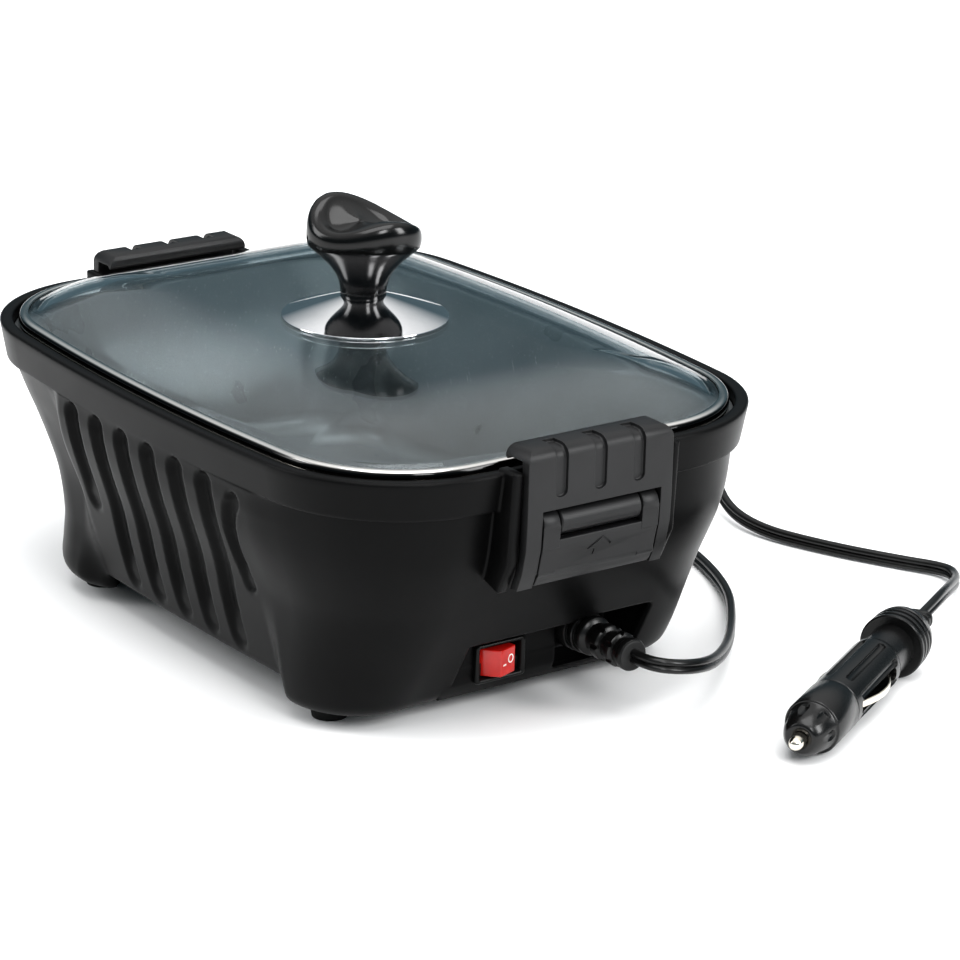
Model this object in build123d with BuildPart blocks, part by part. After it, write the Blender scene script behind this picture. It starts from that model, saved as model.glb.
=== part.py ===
from build123d import *
import math
import os

os.makedirs("parts", exist_ok=True)

# Overall sizes, in millimetres. X runs along the roaster, +X is the control end, Y is its width, Z is up.
collar_length = 280.0
collar_width = 207.6
collar_top = 105.4
collar_bottom = 91.0
leg_bottom = 6.0
arch_height = 14.0
wall = 3.0

# Collar and lid seat
collar_corner = 57.0
collar_bow = 9.2
collar_taper = 2.5
lip_inset = 5.0
ledge_top = 99.5
ledge_bottom = 96.5
pan_inset = 13.0

# Tub wall under the collar: height, half length, half width, corner radius, bow of the long side
wall_levels = [
    (6.0, 99.0, 75.5, 27.0, 2.5),
    (24.0, 109.5, 81.0, 33.0, 3.5),
    (48.0, 122.5, 88.0, 40.0, 5.0),
    (70.0, 131.0, 94.5, 46.0, 6.5),
    (91.0, 134.5, 98.6, 52.0, 8.0),
]

# Raised side panel: height and half width of its face, then its outline along X and Z
panel_levels = [(44.0, 85.6), (62.0, 96.0), (78.0, 100.4), (91.0, 101.2)]
panel_left = -57.0
panel_right = 66.0
panel_flare = 13.0

# Six curved grooves in each side panel
groove_count = 6
groove_pitch = 18.3
groove_first_x = -42.0
groove_width = 9.4
groove_depth = 2.4
groove_top = 93.0
groove_bend = 58.0
groove_bottom = 17.0
groove_short_bottom = 47.0
groove_lean = 11.0

# Legs and feet
leg_top = 52.0
front_leg_inner = 66.0
rear_leg_inner = -58.0
leg_face = 81.5
leg_lean = 5.0
front_leg_corner = 40.0
rear_leg_corner = 24.0
rear_leg_reach = 104.0
foot_x = (75.0, -84.0)
foot_y = 64.0
foot_radius = 7.6
foot_stem_radius = 3.0

# Base plate
plate_bottom = 14.0
plate_thickness = 2.5
boss_radius = 5.0
screw_radius = 1.5
screw_head_radius = 3.2
boss_height = 12.0
boss_places = [(-40.0, 65.0), (45.0, 65.0), (-40.0, -65.0), (45.0, -65.0)]
plate_front = 82.0
plate_rear = -95.0
plate_half = 71.0
plate_arm_half = 43.0

# Pan: height, half length, half width, corner radius, bow of the long side
pan_levels = [
    (38.0, 96.0, 60.0, 24.0, 3.0),
    (41.0, 100.5, 64.5, 27.0, 3.5),
    (48.0, 103.5, 67.5, 29.0, 4.0),
    (99.5, 126.0, 90.0, 42.0, 9.2),
]
pan_floor = 38.0
pan_thickness = 1.8
flange_thickness = 1.2

# Heater stack under the pan
mica_length = 150.0
mica_width = 92.0
mica_thickness = 0.7
ribbon_thickness = 0.4
ribbon_width = 2.4
ribbon_lines = 9
clamp_thickness = 1.2
stud_radius = 2.0
stud_x = 66.0
stud_y = 50.0
stud_bottom = 20.6
nut_height = 3.2
nut_across = 7.0
shield_top = 25.0
shield_thickness = 0.8
shield_length = 163.0
shield_width = 112.0
shield_rim = 4.0
shield_notch_x = 50.0
shield_notch_y = (-30.0, 42.0)
terminal_x = 60.0
terminal_y = 40.0
terminal_bottom = 32.6
terminal_radius = 1.2
wire_radius = 0.8

# Thermostat and thermal fuse on the clamp plate
thermostat_x = -20.0
thermostat_radius = 8.0
thermostat_height = 7.0
fuse_x = 26.0
fuse_radius = 2.2
fuse_length = 12.0
clip_gauge = 0.6

# Lid
rim_inset = 7.0
rim_width = 3.6
rim_bottom = 101.0
rim_top = 107.5
glass_thickness = 4.0
glass_groove = 1.0
glass_top = 119.4
glass_edge_top = 106.6
glass_play = 0.2
# Dome: share of its rise, and how far inside the band that height lies
dome_shape = [(0.0, 0.0), (0.3, 7.0), (0.66, 18.0), (0.9, 34.0), (1.0, 50.0)]
dome_lean = 1.5
least_dome_corner = 20.0
plate_radius = 31.3
plate_edge = glass_top
plate_rise = 4.0
plate_gauge = 1.0
knob_bottom = plate_edge + plate_rise
knob_yaw = 54.0
knob_top = 167.0
knob_half_long = 22.0
knob_half_short = 17.0
knob_screw_radius = 2.0
insert_radius = 3.4
insert_length = 12.0

# Latch: hinge barrel on the housing, lever (flap) and hook
pivot_x = 142.6
pivot_z = 85.5
barrel_radius = 5.0
barrel_half = 17.3
lever_pin_radius = 1.5
lever_half = 25.0
hook_half = 33.0
hook_leg_inner = 25.6
hook_top = 114.0
hook_inner_x = 132.0
hook_front_x = 147.3
hook_bottom = 62.0
link_x = 142.6
link_z = 68.0
hook_pin_radius = 1.2
window_top = 91.3
rib_inner = 34.3
rib_outer = 39.6
rib_top = 106.4
rib_bottom = 61.0
hook_groove_pitch = 16.7
hook_groove_width = 4.0
hook_groove_depth = 1.2

# Control recess and switch
panel_plane = 103.5
recess_low = 10.0
recess_high = 31.8
switch_zone = (-31.0, 14.5)
inlet_zone = (14.5, 50.0)
inlet_back = 86.0
recess_reach = 116.0
switch_y = -10.8
switch_z = 19.8
bezel_length = 21.9
bezel_height = 15.1
bezel_thickness = 2.0
switch_length = 19.0
switch_height = 12.6
switch_depth = 15.0
rocker_half = 7.2
rocker_height = 10.4
rocker_pivot_x = 99.0
rocker_tilt = 13.0
rocker_peak = 9.8
rocker_window = 8.7

# Inlet and connector
inlet_y = 24.5
inlet_z = 24.6
inlet_length = 17.0
inlet_height = 13.0
inlet_pin_radius = 2.0
inlet_pin_spacing = 8.0
connector_front = 88.0
connector_end = 137.0

# Cord: a flat twin lead, drawn as a tube as wide as the lead
cord_diameter = 5.5
coil_radius = 30.5
coil_turns = 4.5
coil_pitch = 6.1
coil_x = -92.0
coil_y = 186.0
coil_low = 4.2
tie_width = 5.0

# Vehicle plug: where its tip is, its direction, and its sections measured back from the tip
plug_tip = (204.8, 42.6, 10.0)
plug_direction = (-0.4846, 0.8744, 0.0257)
plug_barrel_radius = 10.2
plug_cap_radius = 10.4
plug_neck_radius = 8.8
plug_flange_radius = 12.4
plug_cap_front = 18.0
plug_cap_back = 38.0
plug_barrel_back = 82.7
plug_neck_back = 99.5
plug_flange_back = 114.0
plug_relief_back = 132.0
plug_pin_radius = 2.7
plug_fuse_radius = 3.2
plug_contact_width = 4.0
plug_slot = (42.0, 77.0)
plug_far_straight = 147.0


def bowed_outline(height, half_x, half_y, corner, bow):
    """Sketch at a height: rounded rectangle whose long sides swell outward by bow, in eight edges."""
    swell = (half_x**2 + bow**2) / (2 * bow)
    middle_y = half_y - swell
    centre_x = half_x - corner
    centre_y = middle_y + math.sqrt((swell - corner) ** 2 - centre_x**2)
    reach = swell / (swell - corner)
    join_x = centre_x * reach
    join_y = middle_y + (centre_y - middle_y) * reach
    turn = math.atan2(join_y - centre_y, join_x - centre_x) / 2
    bend_x = centre_x + corner * math.cos(turn)
    bend_y = centre_y + corner * math.sin(turn)
    with BuildSketch(Plane.XY.offset(height)) as outline:
        with BuildLine():
            ThreePointArc((-join_x, join_y), (0, half_y), (join_x, join_y))
            ThreePointArc((join_x, join_y), (bend_x, bend_y), (half_x, centre_y))
            Line((half_x, centre_y), (half_x, -centre_y))
            ThreePointArc((half_x, -centre_y), (bend_x, -bend_y), (join_x, -join_y))
            ThreePointArc((join_x, -join_y), (0, -half_y), (-join_x, -join_y))
            ThreePointArc((-join_x, -join_y), (-bend_x, -bend_y), (-half_x, -centre_y))
            Line((-half_x, -centre_y), (-half_x, centre_y))
            ThreePointArc((-half_x, centre_y), (-bend_x, bend_y), (-join_x, join_y))
        make_face()
    return outline.sketch


def collar_outline(height, inset):
    """Collar outline at a height, moved inward by inset."""
    half_x = collar_length / 2 - inset
    half_y = collar_width / 2 - inset
    return bowed_outline(height, half_x, half_y, collar_corner - inset, collar_bow)


def collar_prism(low, high, inset, low_inset=None):
    """Solid between two heights with the collar's outline; it tapers when low_inset differs."""
    with BuildPart() as prism:
        add(collar_outline(low, inset if low_inset is None else low_inset))
        add(collar_outline(high, inset))
        loft(ruled=True)
    return prism.part


def level_loft(levels, inset, ruled=False):
    """Solid through bowed outlines at several heights, moved inward by inset."""
    with BuildPart() as body:
        for height, half_x, half_y, corner, bow in levels:
            add(bowed_outline(height, half_x - inset, half_y - inset, corner - inset, bow))
        loft(ruled=ruled)
    return body.part


def block(x_range, y_range, z_range):
    """Box between two corners."""
    centre = [(a + b) / 2 for a, b in (x_range, y_range, z_range)]
    size = [b - a for a, b in (x_range, y_range, z_range)]
    return Pos(*centre) * Box(*size, mode=Mode.PRIVATE)


def rod(x, y, low, high, radius):
    """Upright cylinder between two heights."""
    return Pos(x, y, (low + high) / 2) * Cylinder(radius, high - low, mode=Mode.PRIVATE)


def rod_along_x(y, z, low, high, radius):
    """Cylinder along X."""
    return Pos((low + high) / 2, y, z) * Rot(0, 90, 0) * Cylinder(radius, high - low, mode=Mode.PRIVATE)


def rod_along_y(x, z, low, high, radius):
    """Cylinder along Y."""
    return Pos(x, (low + high) / 2, z) * Rot(90, 0, 0) * Cylinder(radius, high - low, mode=Mode.PRIVATE)


def side_profile(points, low, high):
    """Prism along Y whose outline is given in X and Z."""
    with BuildPart() as prism:
        with BuildSketch(Plane.XZ.offset(-high)):
            with BuildLine():
                Polyline(*points, close=True)
            make_face()
        extrude(amount=high - low)
    return prism.part


def save(part, label):
    """Names a piece and writes it."""
    part.label = label
    export_step(part, f"parts/{label}.step")


# Tub: outer walls, panels and legs
tub_outer = level_loft(wall_levels, 0)
tub_inner = level_loft(wall_levels, wall)


def panel_solid(side, inset):
    """Raised panel on one long side, moved inward by inset and still reaching to the middle."""
    levels = [
        (height, collar_length / 2 - 3, half, collar_corner - 3, collar_bow - (91 - height) * 0.08)
        for height, half in panel_levels
    ]
    face = level_loft(levels, inset, ruled=True)
    low = panel_levels[0][0]
    flare_z = collar_bottom - panel_flare
    bend = panel_flare * (1 - math.sqrt(0.5))
    with BuildPart() as mask:
        with BuildSketch(Plane.XZ.offset(-110 if side > 0 else 0)):
            with BuildLine():
                Line((panel_left - panel_flare, collar_bottom), (panel_right + panel_flare, collar_bottom))
                ThreePointArc(
                    (panel_right + panel_flare, collar_bottom),
                    (panel_right + bend, collar_bottom - bend),
                    (panel_right, flare_z),
                )
                Line((panel_right, flare_z), (panel_right - 1, low))
                Line((panel_right - 1, low), (panel_left - 1, low))
                Line((panel_left - 1, low), (panel_left, flare_z))
                ThreePointArc(
                    (panel_left, flare_z),
                    (panel_left - bend, collar_bottom - bend),
                    (panel_left - panel_flare, collar_bottom),
                )
            make_face()
        extrude(amount=110)
    return face & mask.part


def leg_solids():
    """Four legs, cut out of two upright blocks that lean outward with height."""
    front = level_loft(
        [
            (leg_bottom, 99.5, leg_face, front_leg_corner, 2.0),
            (leg_top, 123.0, leg_face + leg_lean, front_leg_corner + 2, 2.0),
        ],
        0,
        ruled=True,
    )
    rear = level_loft(
        [
            (leg_bottom, rear_leg_reach, leg_face, rear_leg_corner, 2.0),
            (leg_top, 122.0, leg_face + leg_lean, rear_leg_corner + 14, 2.0),
        ],
        0,
        ruled=True,
    )
    legs = []
    for side in (1, -1):
        y_range = (44, 100) if side > 0 else (-100, -44)
        legs.append(front & block((front_leg_inner, 140), y_range, (leg_bottom, leg_top)))
        legs.append(rear & block((-140, rear_leg_inner), y_range, (leg_bottom, leg_top)))
    return legs


def groove_prisms(side):
    """Six prisms through one side: each has an upright top stretch and a leaning lower one."""
    prisms = []
    for index in range(groove_count):
        top_x = groove_first_x + index * groove_pitch
        bottom_z = groove_short_bottom if index == 0 else groove_bottom
        lean = groove_lean * (groove_bend - bottom_z) / (groove_bend - groove_bottom)
        path = [
            Vector(top_x, groove_top - groove_width / 2),
            Vector(top_x - 1.5, groove_bend),
            Vector(top_x - 1.5 - lean, bottom_z + groove_width / 2),
        ]
        with BuildPart() as prism:
            with BuildSketch(Plane.XZ.offset(-120 if side > 0 else 0)):
                for start, end in zip(path, path[1:]):
                    run = end - start
                    with Locations((start + end) / 2):
                        angle = math.degrees(math.atan2(run.Y, run.X))
                        SlotCenterToCenter(run.length, groove_width, rotation=angle)
            extrude(amount=120)
        prisms.append(prism.part)
    return prisms


def latch_seat():
    """Hinge barrel with its web and two guard ribs, for the control end."""
    rib = [
        (124, rib_bottom + 8),
        (126, rib_top - 12),
        (136, rib_top),
        (143.6, rib_top),
        (141.6, rib_bottom + 12),
        (136, rib_bottom),
    ]
    with BuildPart() as seat:
        add(block((126, pivot_x), (-barrel_half, barrel_half), (pivot_z - 3, pivot_z + 3)))
        add(rod_along_y(pivot_x, pivot_z, -barrel_half, barrel_half, barrel_radius))
        add(side_profile(rib, -rib_outer, -rib_inner))
        add(side_profile(rib, rib_inner, rib_outer))
        add(tub_inner, mode=Mode.SUBTRACT)
        add(collar_prism(collar_bottom - 1, collar_top + 3, lip_inset), mode=Mode.SUBTRACT)
        add(
            rod_along_y(pivot_x, pivot_z, -barrel_half - 1, barrel_half + 1, lever_pin_radius + 0.02),
            mode=Mode.SUBTRACT,
        )
    return seat.part


def leg_room(front, side):
    """Space over the floor of one leg, which the tub's hollow leaves alone."""
    x_range = (front_leg_inner, 140) if front else (-140, rear_leg_inner)
    y_range = (44, 100) if side > 0 else (-100, -44)
    return block(x_range, y_range, (0, leg_bottom + wall))


# Housing: one moulding of tub, collar, legs, panels, latch seats and control recess
with BuildPart() as tub_room:
    add(tub_inner)
    for front in (True, False):
        for side in (1, -1):
            add(leg_room(front, side), mode=Mode.SUBTRACT)

with BuildPart() as groove_floor:
    add(level_loft(wall_levels, groove_depth))
    add(panel_solid(1, groove_depth))
    add(panel_solid(-1, groove_depth))

with BuildPart() as control_walls:
    walls_z = (recess_low - wall, recess_high + wall + 1.2)
    sill_y = (-plate_arm_half - 1, inlet_zone[1] + wall)
    add(block((panel_plane - wall, recess_reach), (switch_zone[0] - wall, switch_zone[1]), walls_z))
    add(block((inlet_back - wall, recess_reach), (inlet_zone[0] - wall, inlet_zone[1] + wall), walls_z))
    add(block((plate_front - 2, 102), sill_y, (recess_low - wall, recess_low - 0.5)))
    add(block((plate_front - 2, plate_front), sill_y, (recess_low - wall, plate_bottom)))
    add(level_loft(wall_levels, 0.2), mode=Mode.INTERSECT)
    add(block((panel_plane - wall, panel_plane), switch_zone, (8, recess_high)))

with BuildPart() as collar:
    add(collar_prism(collar_bottom, collar_top, 0, low_inset=collar_taper))
    add(collar_prism(ledge_top, collar_top + 1, lip_inset), mode=Mode.SUBTRACT)
    add(collar_prism(collar_bottom - 1, ledge_top + 1, pan_inset - 1), mode=Mode.SUBTRACT)
    add(collar_prism(collar_bottom - 1, ledge_bottom, 8.5), mode=Mode.SUBTRACT)

with BuildPart() as housing:
    add(tub_outer)
    add(panel_solid(1, 0))
    add(panel_solid(-1, 0))
    for leg in leg_solids():
        add(leg)
    for side in (1, -1):
        for prism in groove_prisms(side):
            add(prism - groove_floor.part, mode=Mode.SUBTRACT)
    add(block((rear_leg_inner, front_leg_inner), (-120, 120), (0, arch_height)), mode=Mode.SUBTRACT)
    add(tub_room.part, mode=Mode.SUBTRACT)
    add(collar.part)
    add(control_walls.part)
    add(block((panel_plane, 130), switch_zone, (recess_low, recess_high)), mode=Mode.SUBTRACT)
    add(block((inlet_back, 130), inlet_zone, (recess_low, recess_high + 1.5)), mode=Mode.SUBTRACT)
    with Locations((panel_plane, switch_y, switch_z)):
        Box(3 * wall, switch_length + 0.1, switch_height + 0.1, mode=Mode.SUBTRACT)
    with Locations((inlet_back, inlet_y, inlet_z)):
        Box(3 * wall, inlet_length + 0.1, inlet_height + 0.1, mode=Mode.SUBTRACT)
    seat = latch_seat()
    add(seat)
    add(Rot(0, 0, 180) * seat)
    for x, y in boss_places:
        outward = math.copysign(1, y)
        boss_low = plate_bottom + plate_thickness
        boss = rod(x, y, boss_low, boss_low + boss_height, boss_radius)
        web = block((x - 2, x + 2), sorted((y, y + 20 * outward)), (boss_low, boss_low + boss_height))
        add(boss + (web & tub_outer))
        add(rod(x, y, boss_low - 1, boss_low + boss_height - 2, screw_radius + 0.02), mode=Mode.SUBTRACT)
    for x in foot_x:
        for y in (foot_y, -foot_y):
            add(rod(x, y, leg_bottom - 1, leg_bottom + wall + 1, foot_stem_radius + 0.02), mode=Mode.SUBTRACT)
save(housing.part, "housing")

# Base plate between the legs, with its screws
with BuildPart() as base_plate:
    plate_range = (plate_bottom, plate_bottom + plate_thickness)
    add(block((rear_leg_inner + 1, front_leg_inner - 1), (-plate_half, plate_half), plate_range))
    add(block((plate_rear, plate_front), (-plate_arm_half, plate_arm_half), plate_range))
    for x, y in boss_places:
        add(rod(x, y, plate_bottom - 1, plate_bottom + 4, screw_radius + 0.2), mode=Mode.SUBTRACT)
    for column in range(-3, 4):
        with Locations((column * 12, 0, plate_bottom)):
            Box(3, 40, 8, mode=Mode.SUBTRACT)
save(base_plate.part, "base_plate")

with BuildPart() as base_screws:
    for x, y in boss_places:
        add(rod(x, y, plate_bottom, plate_bottom + 11, screw_radius))
        add(rod(x, y, plate_bottom - 1.8, plate_bottom, screw_head_radius))
save(base_screws.part, "base_screws")

# Rubber feet with stems that press into the leg floors
for x_name, x in (("front", foot_x[0]), ("rear", foot_x[1])):
    for y_name, y in (("left", foot_y), ("right", -foot_y)):
        with BuildPart() as foot:
            with Locations((x, y, leg_bottom / 2)):
                Cone(foot_radius - 1.2, foot_radius, leg_bottom)
            add(rod(x, y, leg_bottom - 0.5, leg_bottom + wall, foot_stem_radius))
        save(foot.part, f"foot_{x_name}_{y_name}")

# Pan: pressed bowl with a flange on the ledge
with BuildPart() as pan:
    add(level_loft(pan_levels, 0, ruled=True))
    add(collar_prism(ledge_top, ledge_top + flange_thickness, lip_inset + 0.3))
    inner_levels = [(level[0] + pan_thickness,) + level[1:] for level in pan_levels]
    inner_levels[-1] = (ledge_top + flange_thickness + 0.01,) + inner_levels[-1][1:]
    add(level_loft(inner_levels, pan_thickness, ruled=True), mode=Mode.SUBTRACT)
save(pan.part, "pan")

# Heater stack, from the pan downward
stud_places = [(x, y) for x in (-stud_x, stud_x) for y in (-stud_y, stud_y)]
mica_top_low = pan_floor - mica_thickness
ribbon_low = mica_top_low - ribbon_thickness
mica_bottom_low = ribbon_low - mica_thickness
clamp_low = mica_bottom_low - clamp_thickness
spacer_low = shield_top
nut_low = clamp_low - nut_height


def sheet(length, width, low, high, corner):
    """Flat sheet with rounded corners."""
    with BuildPart() as plate:
        with BuildSketch(Plane.XY.offset(low)):
            RectangleRounded(length, width, corner)
        extrude(amount=high - low)
    return plate.part


def nuts(low):
    """Four hexagon nuts on the studs."""
    with BuildPart() as group:
        with BuildSketch(Plane.XY.offset(low)):
            with Locations(*stud_places):
                RegularPolygon(nut_across / 2, 6, major_radius=False)
                Circle(stud_radius + 0.02, mode=Mode.SUBTRACT)
        extrude(amount=nut_height)
    return group.part


with BuildPart() as pan_studs:
    for x, y in stud_places:
        add(rod(x, y, stud_bottom, pan_floor, stud_radius))
save(pan_studs.part, "pan_studs")

with BuildPart() as mica_top:
    add(sheet(mica_length, mica_width, mica_top_low, pan_floor, 4))
save(mica_top.part, "mica_top")

with BuildPart() as mica_bottom:
    add(sheet(mica_length, mica_width, mica_bottom_low, ribbon_low, 4))
    for x, y in ((terminal_x, terminal_y), (-terminal_x, -terminal_y)):
        add(rod(x, y, clamp_low, ribbon_low + 1, terminal_radius + 0.2), mode=Mode.SUBTRACT)
save(mica_bottom.part, "mica_bottom")

with BuildPart() as ribbon_terminals:
    for x, y in ((terminal_x, terminal_y), (-terminal_x, -terminal_y)):
        add(rod(x, y, terminal_bottom, ribbon_low, terminal_radius))
save(ribbon_terminals.part, "ribbon_terminals")

with BuildPart() as heating_ribbon:
    line_pitch = (mica_width - 12) / (ribbon_lines - 1)
    reach = mica_length / 2 - 8
    with BuildSketch(Plane.XY.offset(ribbon_low)):
        for line in range(ribbon_lines):
            y = -mica_width / 2 + 6 + line * line_pitch
            with Locations((0, y)):
                Rectangle(2 * reach, ribbon_width)
            if line < ribbon_lines - 1:
                end = reach if line % 2 == 0 else -reach
                with Locations((end - math.copysign(ribbon_width / 2, end), y + line_pitch / 2)):
                    Rectangle(ribbon_width, line_pitch + ribbon_width)
    extrude(amount=ribbon_thickness)
save(heating_ribbon.part, "heating_ribbon")

with BuildPart() as clamp_plate:
    add(sheet(mica_length, 2 * stud_y + 12, clamp_low, mica_bottom_low, 5))
    for x, y in stud_places:
        add(rod(x, y, clamp_low - 1, clamp_low + 4, stud_radius + 0.2), mode=Mode.SUBTRACT)
    for x, y in ((terminal_x, terminal_y), (-terminal_x, -terminal_y)):
        add(rod(x, y, clamp_low - 1, clamp_low + 4, terminal_radius + 1.6), mode=Mode.SUBTRACT)
save(clamp_plate.part, "clamp_plate")

with BuildPart() as clamp_nuts:
    add(nuts(nut_low))
save(clamp_nuts.part, "clamp_nuts")

with BuildPart() as shield_spacers:
    for x, y in stud_places:
        add(rod(x, y, spacer_low, nut_low, stud_radius + 1.4))
        add(rod(x, y, spacer_low - 1, nut_low + 1, stud_radius + 0.05), mode=Mode.SUBTRACT)
save(shield_spacers.part, "shield_spacers")

with BuildPart() as heat_shield:
    add(sheet(shield_length, shield_width, shield_top - shield_thickness, shield_top + shield_rim, 8))
    add(
        sheet(shield_length - 1.6, shield_width - 1.6, shield_top, shield_top + shield_rim + 1, 7.2),
        mode=Mode.SUBTRACT,
    )
    for x, y in stud_places:
        add(rod(x, y, shield_top - 2, shield_top + 1, stud_radius + 0.2), mode=Mode.SUBTRACT)
    add(block((shield_notch_x, shield_length), shield_notch_y, (20, 40)), mode=Mode.SUBTRACT)
save(heat_shield.part, "heat_shield")

with BuildPart() as shield_nuts:
    add(nuts(shield_top - shield_thickness - nut_height))
save(shield_nuts.part, "shield_nuts")

# Thermostat and thermal fuse under the clamp plate
with BuildPart() as thermostat:
    add(rod(thermostat_x, 0, clamp_low - thermostat_height, clamp_low, thermostat_radius))
    for y in (-11, 11):
        with Locations((thermostat_x, y, clamp_low - 2)):
            Box(4, 10, 0.8)
save(thermostat.part, "thermostat")

with BuildPart() as thermal_fuse:
    fuse_z = clamp_low - fuse_radius - clip_gauge
    add(rod_along_x(0, fuse_z, fuse_x - fuse_length / 2, fuse_x + fuse_length / 2, fuse_radius))
    add(rod_along_x(0, fuse_z, fuse_x - fuse_length, fuse_x + fuse_length, 0.6))
save(thermal_fuse.part, "thermal_fuse")

with BuildPart() as fuse_clip:
    add(rod_along_x(0, fuse_z, fuse_x - 2, fuse_x + 2, fuse_radius + clip_gauge))
    add(rod_along_x(0, fuse_z, fuse_x - 3, fuse_x + 3, fuse_radius + 0.02), mode=Mode.SUBTRACT)
    add(block((fuse_x - 2, fuse_x + 2), (0, fuse_radius + 6), (clamp_low - clip_gauge, clamp_low)))
    add(rod_along_x(0, fuse_z, fuse_x - 3, fuse_x + 3, fuse_radius + 0.02), mode=Mode.SUBTRACT)
save(fuse_clip.part, "fuse_clip")

# Leads: inlet to switch, switch to thermostat, thermostat to fuse, fuse to heater, heater to inlet
pin_back = inlet_back - 18
blade_back = panel_plane - switch_depth - 8
lead_routes = [
    [
        (pin_back, inlet_y - inlet_pin_spacing / 2, inlet_z),
        (60, inlet_y - inlet_pin_spacing / 2, inlet_z),
        (58, 6, 20),
        (68, switch_y + 6, switch_z),
        (blade_back, switch_y + 6, switch_z),
    ],
    [
        (blade_back, switch_y - 6, switch_z),
        (60, switch_y - 6, switch_z),
        (42, -18, 31),
        (6, -18, 32.5),
        (-8, -14, 33),
        (thermostat_x + 2, -14, clamp_low - 2),
    ],
    [
        (thermostat_x + 2, 14, clamp_low - 2),
        (-6, 14, 33),
        (2, 0, fuse_z),
        (fuse_x - fuse_length, 0, fuse_z),
    ],
    [
        (fuse_x + fuse_length, 0, fuse_z),
        (50, 0, 32.4),
        (terminal_x, 16, 33),
        (terminal_x, terminal_y - terminal_radius - 0.05, 33.6),
    ],
    [
        (pin_back, inlet_y + inlet_pin_spacing / 2, inlet_z),
        (58, inlet_y + inlet_pin_spacing / 2, inlet_z),
        (44, 29, 28.5),
        (-30, 28, 28),
        (-54, -8, 28.5),
        (-terminal_x, -24, 31.5),
        (-terminal_x, -terminal_y + terminal_radius + 0.05, 33.4),
    ],
]


def route_radii(points):
    """Radius of the arc at each inner point, and the length of the whole tube's middle line."""
    points = [Vector(*point) for point in points]
    radii = []
    total = 0.0
    for before, here, after in zip(points, points[1:], points[2:]):
        arriving = here - before
        leaving = after - here
        turn = math.radians(arriving.get_angle(leaving))
        shorter = min(arriving.length, leaving.length)
        radius = 0.45 * shorter / math.tan(turn / 2)
        radii.append(radius)
        total += radius * turn - 2 * radius * math.tan(turn / 2)
    for before, after in zip(points, points[1:]):
        total += (after - before).length
    return radii, total


with BuildPart() as lead_wires:
    for route in lead_routes:
        with BuildLine() as lead:
            FilletPolyline(*route, radius=route_radii(route)[0])
        with BuildSketch(Plane(lead.line @ 0, z_dir=lead.line % 0)):
            Circle(wire_radius)
        sweep(path=lead.line)
save(lead_wires.part, "lead_wires")


# Lid: domed glass in a steel band, round plate and knob
def dome(levels):
    """Pillow-shaped solid: each level is a height and an inset from the collar outline."""
    edge = levels[0][1]
    with BuildPart() as body:
        for height, inset in levels:
            half_x = collar_length / 2 - inset
            half_y = collar_width / 2 - inset
            corner = max(collar_corner - inset, least_dome_corner)
            add(bowed_outline(height, half_x, half_y, corner, collar_bow * (1 - (inset - edge) / 90)))
        loft(ruled=True)
    return body.part


with BuildPart() as lid_glass:
    edge_low = glass_edge_top - glass_thickness
    edge_inset = rim_inset + glass_groove
    flat_inset = rim_inset + rim_width
    add(collar_prism(edge_low, glass_edge_top, edge_inset + glass_play))
    rise = glass_top - glass_edge_top
    shape = [(part, flat_inset + glass_play + inset) for part, inset in dome_shape]
    add(dome([(glass_edge_top + rise * part, inset) for part, inset in shape]))
    hollow = [(edge_low + rise * part, inset + dome_lean) for part, inset in shape]
    hollow[0] = (edge_low - 0.01, hollow[0][1])
    add(dome(hollow), mode=Mode.SUBTRACT)
    add(rod(0, 0, edge_low, glass_top + 1, knob_screw_radius + 0.6), mode=Mode.SUBTRACT)
save(lid_glass.part, "lid_glass")

with BuildPart() as lid_rim:
    add(collar_prism(rim_bottom, rim_top, rim_inset))
    outer_top = lid_rim.faces().sort_by(Axis.Z)[-1].edges()
    fillet(outer_top, 1.6)
    add(collar_prism(rim_bottom - 1, rim_top + 1, flat_inset), mode=Mode.SUBTRACT)
    add(collar_prism(edge_low, glass_edge_top, edge_inset), mode=Mode.SUBTRACT)
save(lid_rim.part, "lid_rim")

dome_radius = (plate_radius**2 + plate_rise**2) / (2 * plate_rise)


def disc_height(radius):
    """Height of the round plate's upper face at a radius."""
    return plate_edge + plate_rise - dome_radius + math.sqrt(dome_radius**2 - radius**2)


with BuildPart() as knob_plate:
    bore = knob_screw_radius + 0.2
    middle = plate_radius / 2
    with BuildSketch(Plane.XZ):
        with BuildLine():
            upper = ThreePointArc(
                (bore, disc_height(bore)),
                (middle, disc_height(middle)),
                (plate_radius, plate_edge + plate_gauge),
            )
            Line(upper @ 1, (plate_radius, plate_edge))
            lower = ThreePointArc(
                (plate_radius, plate_edge),
                (middle, disc_height(middle) - plate_gauge),
                (bore, disc_height(bore) - plate_gauge),
            )
            Line(lower @ 1, upper @ 0)
        make_face()
    revolve(axis=Axis.Z)
save(knob_plate.part, "knob_plate")

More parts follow.
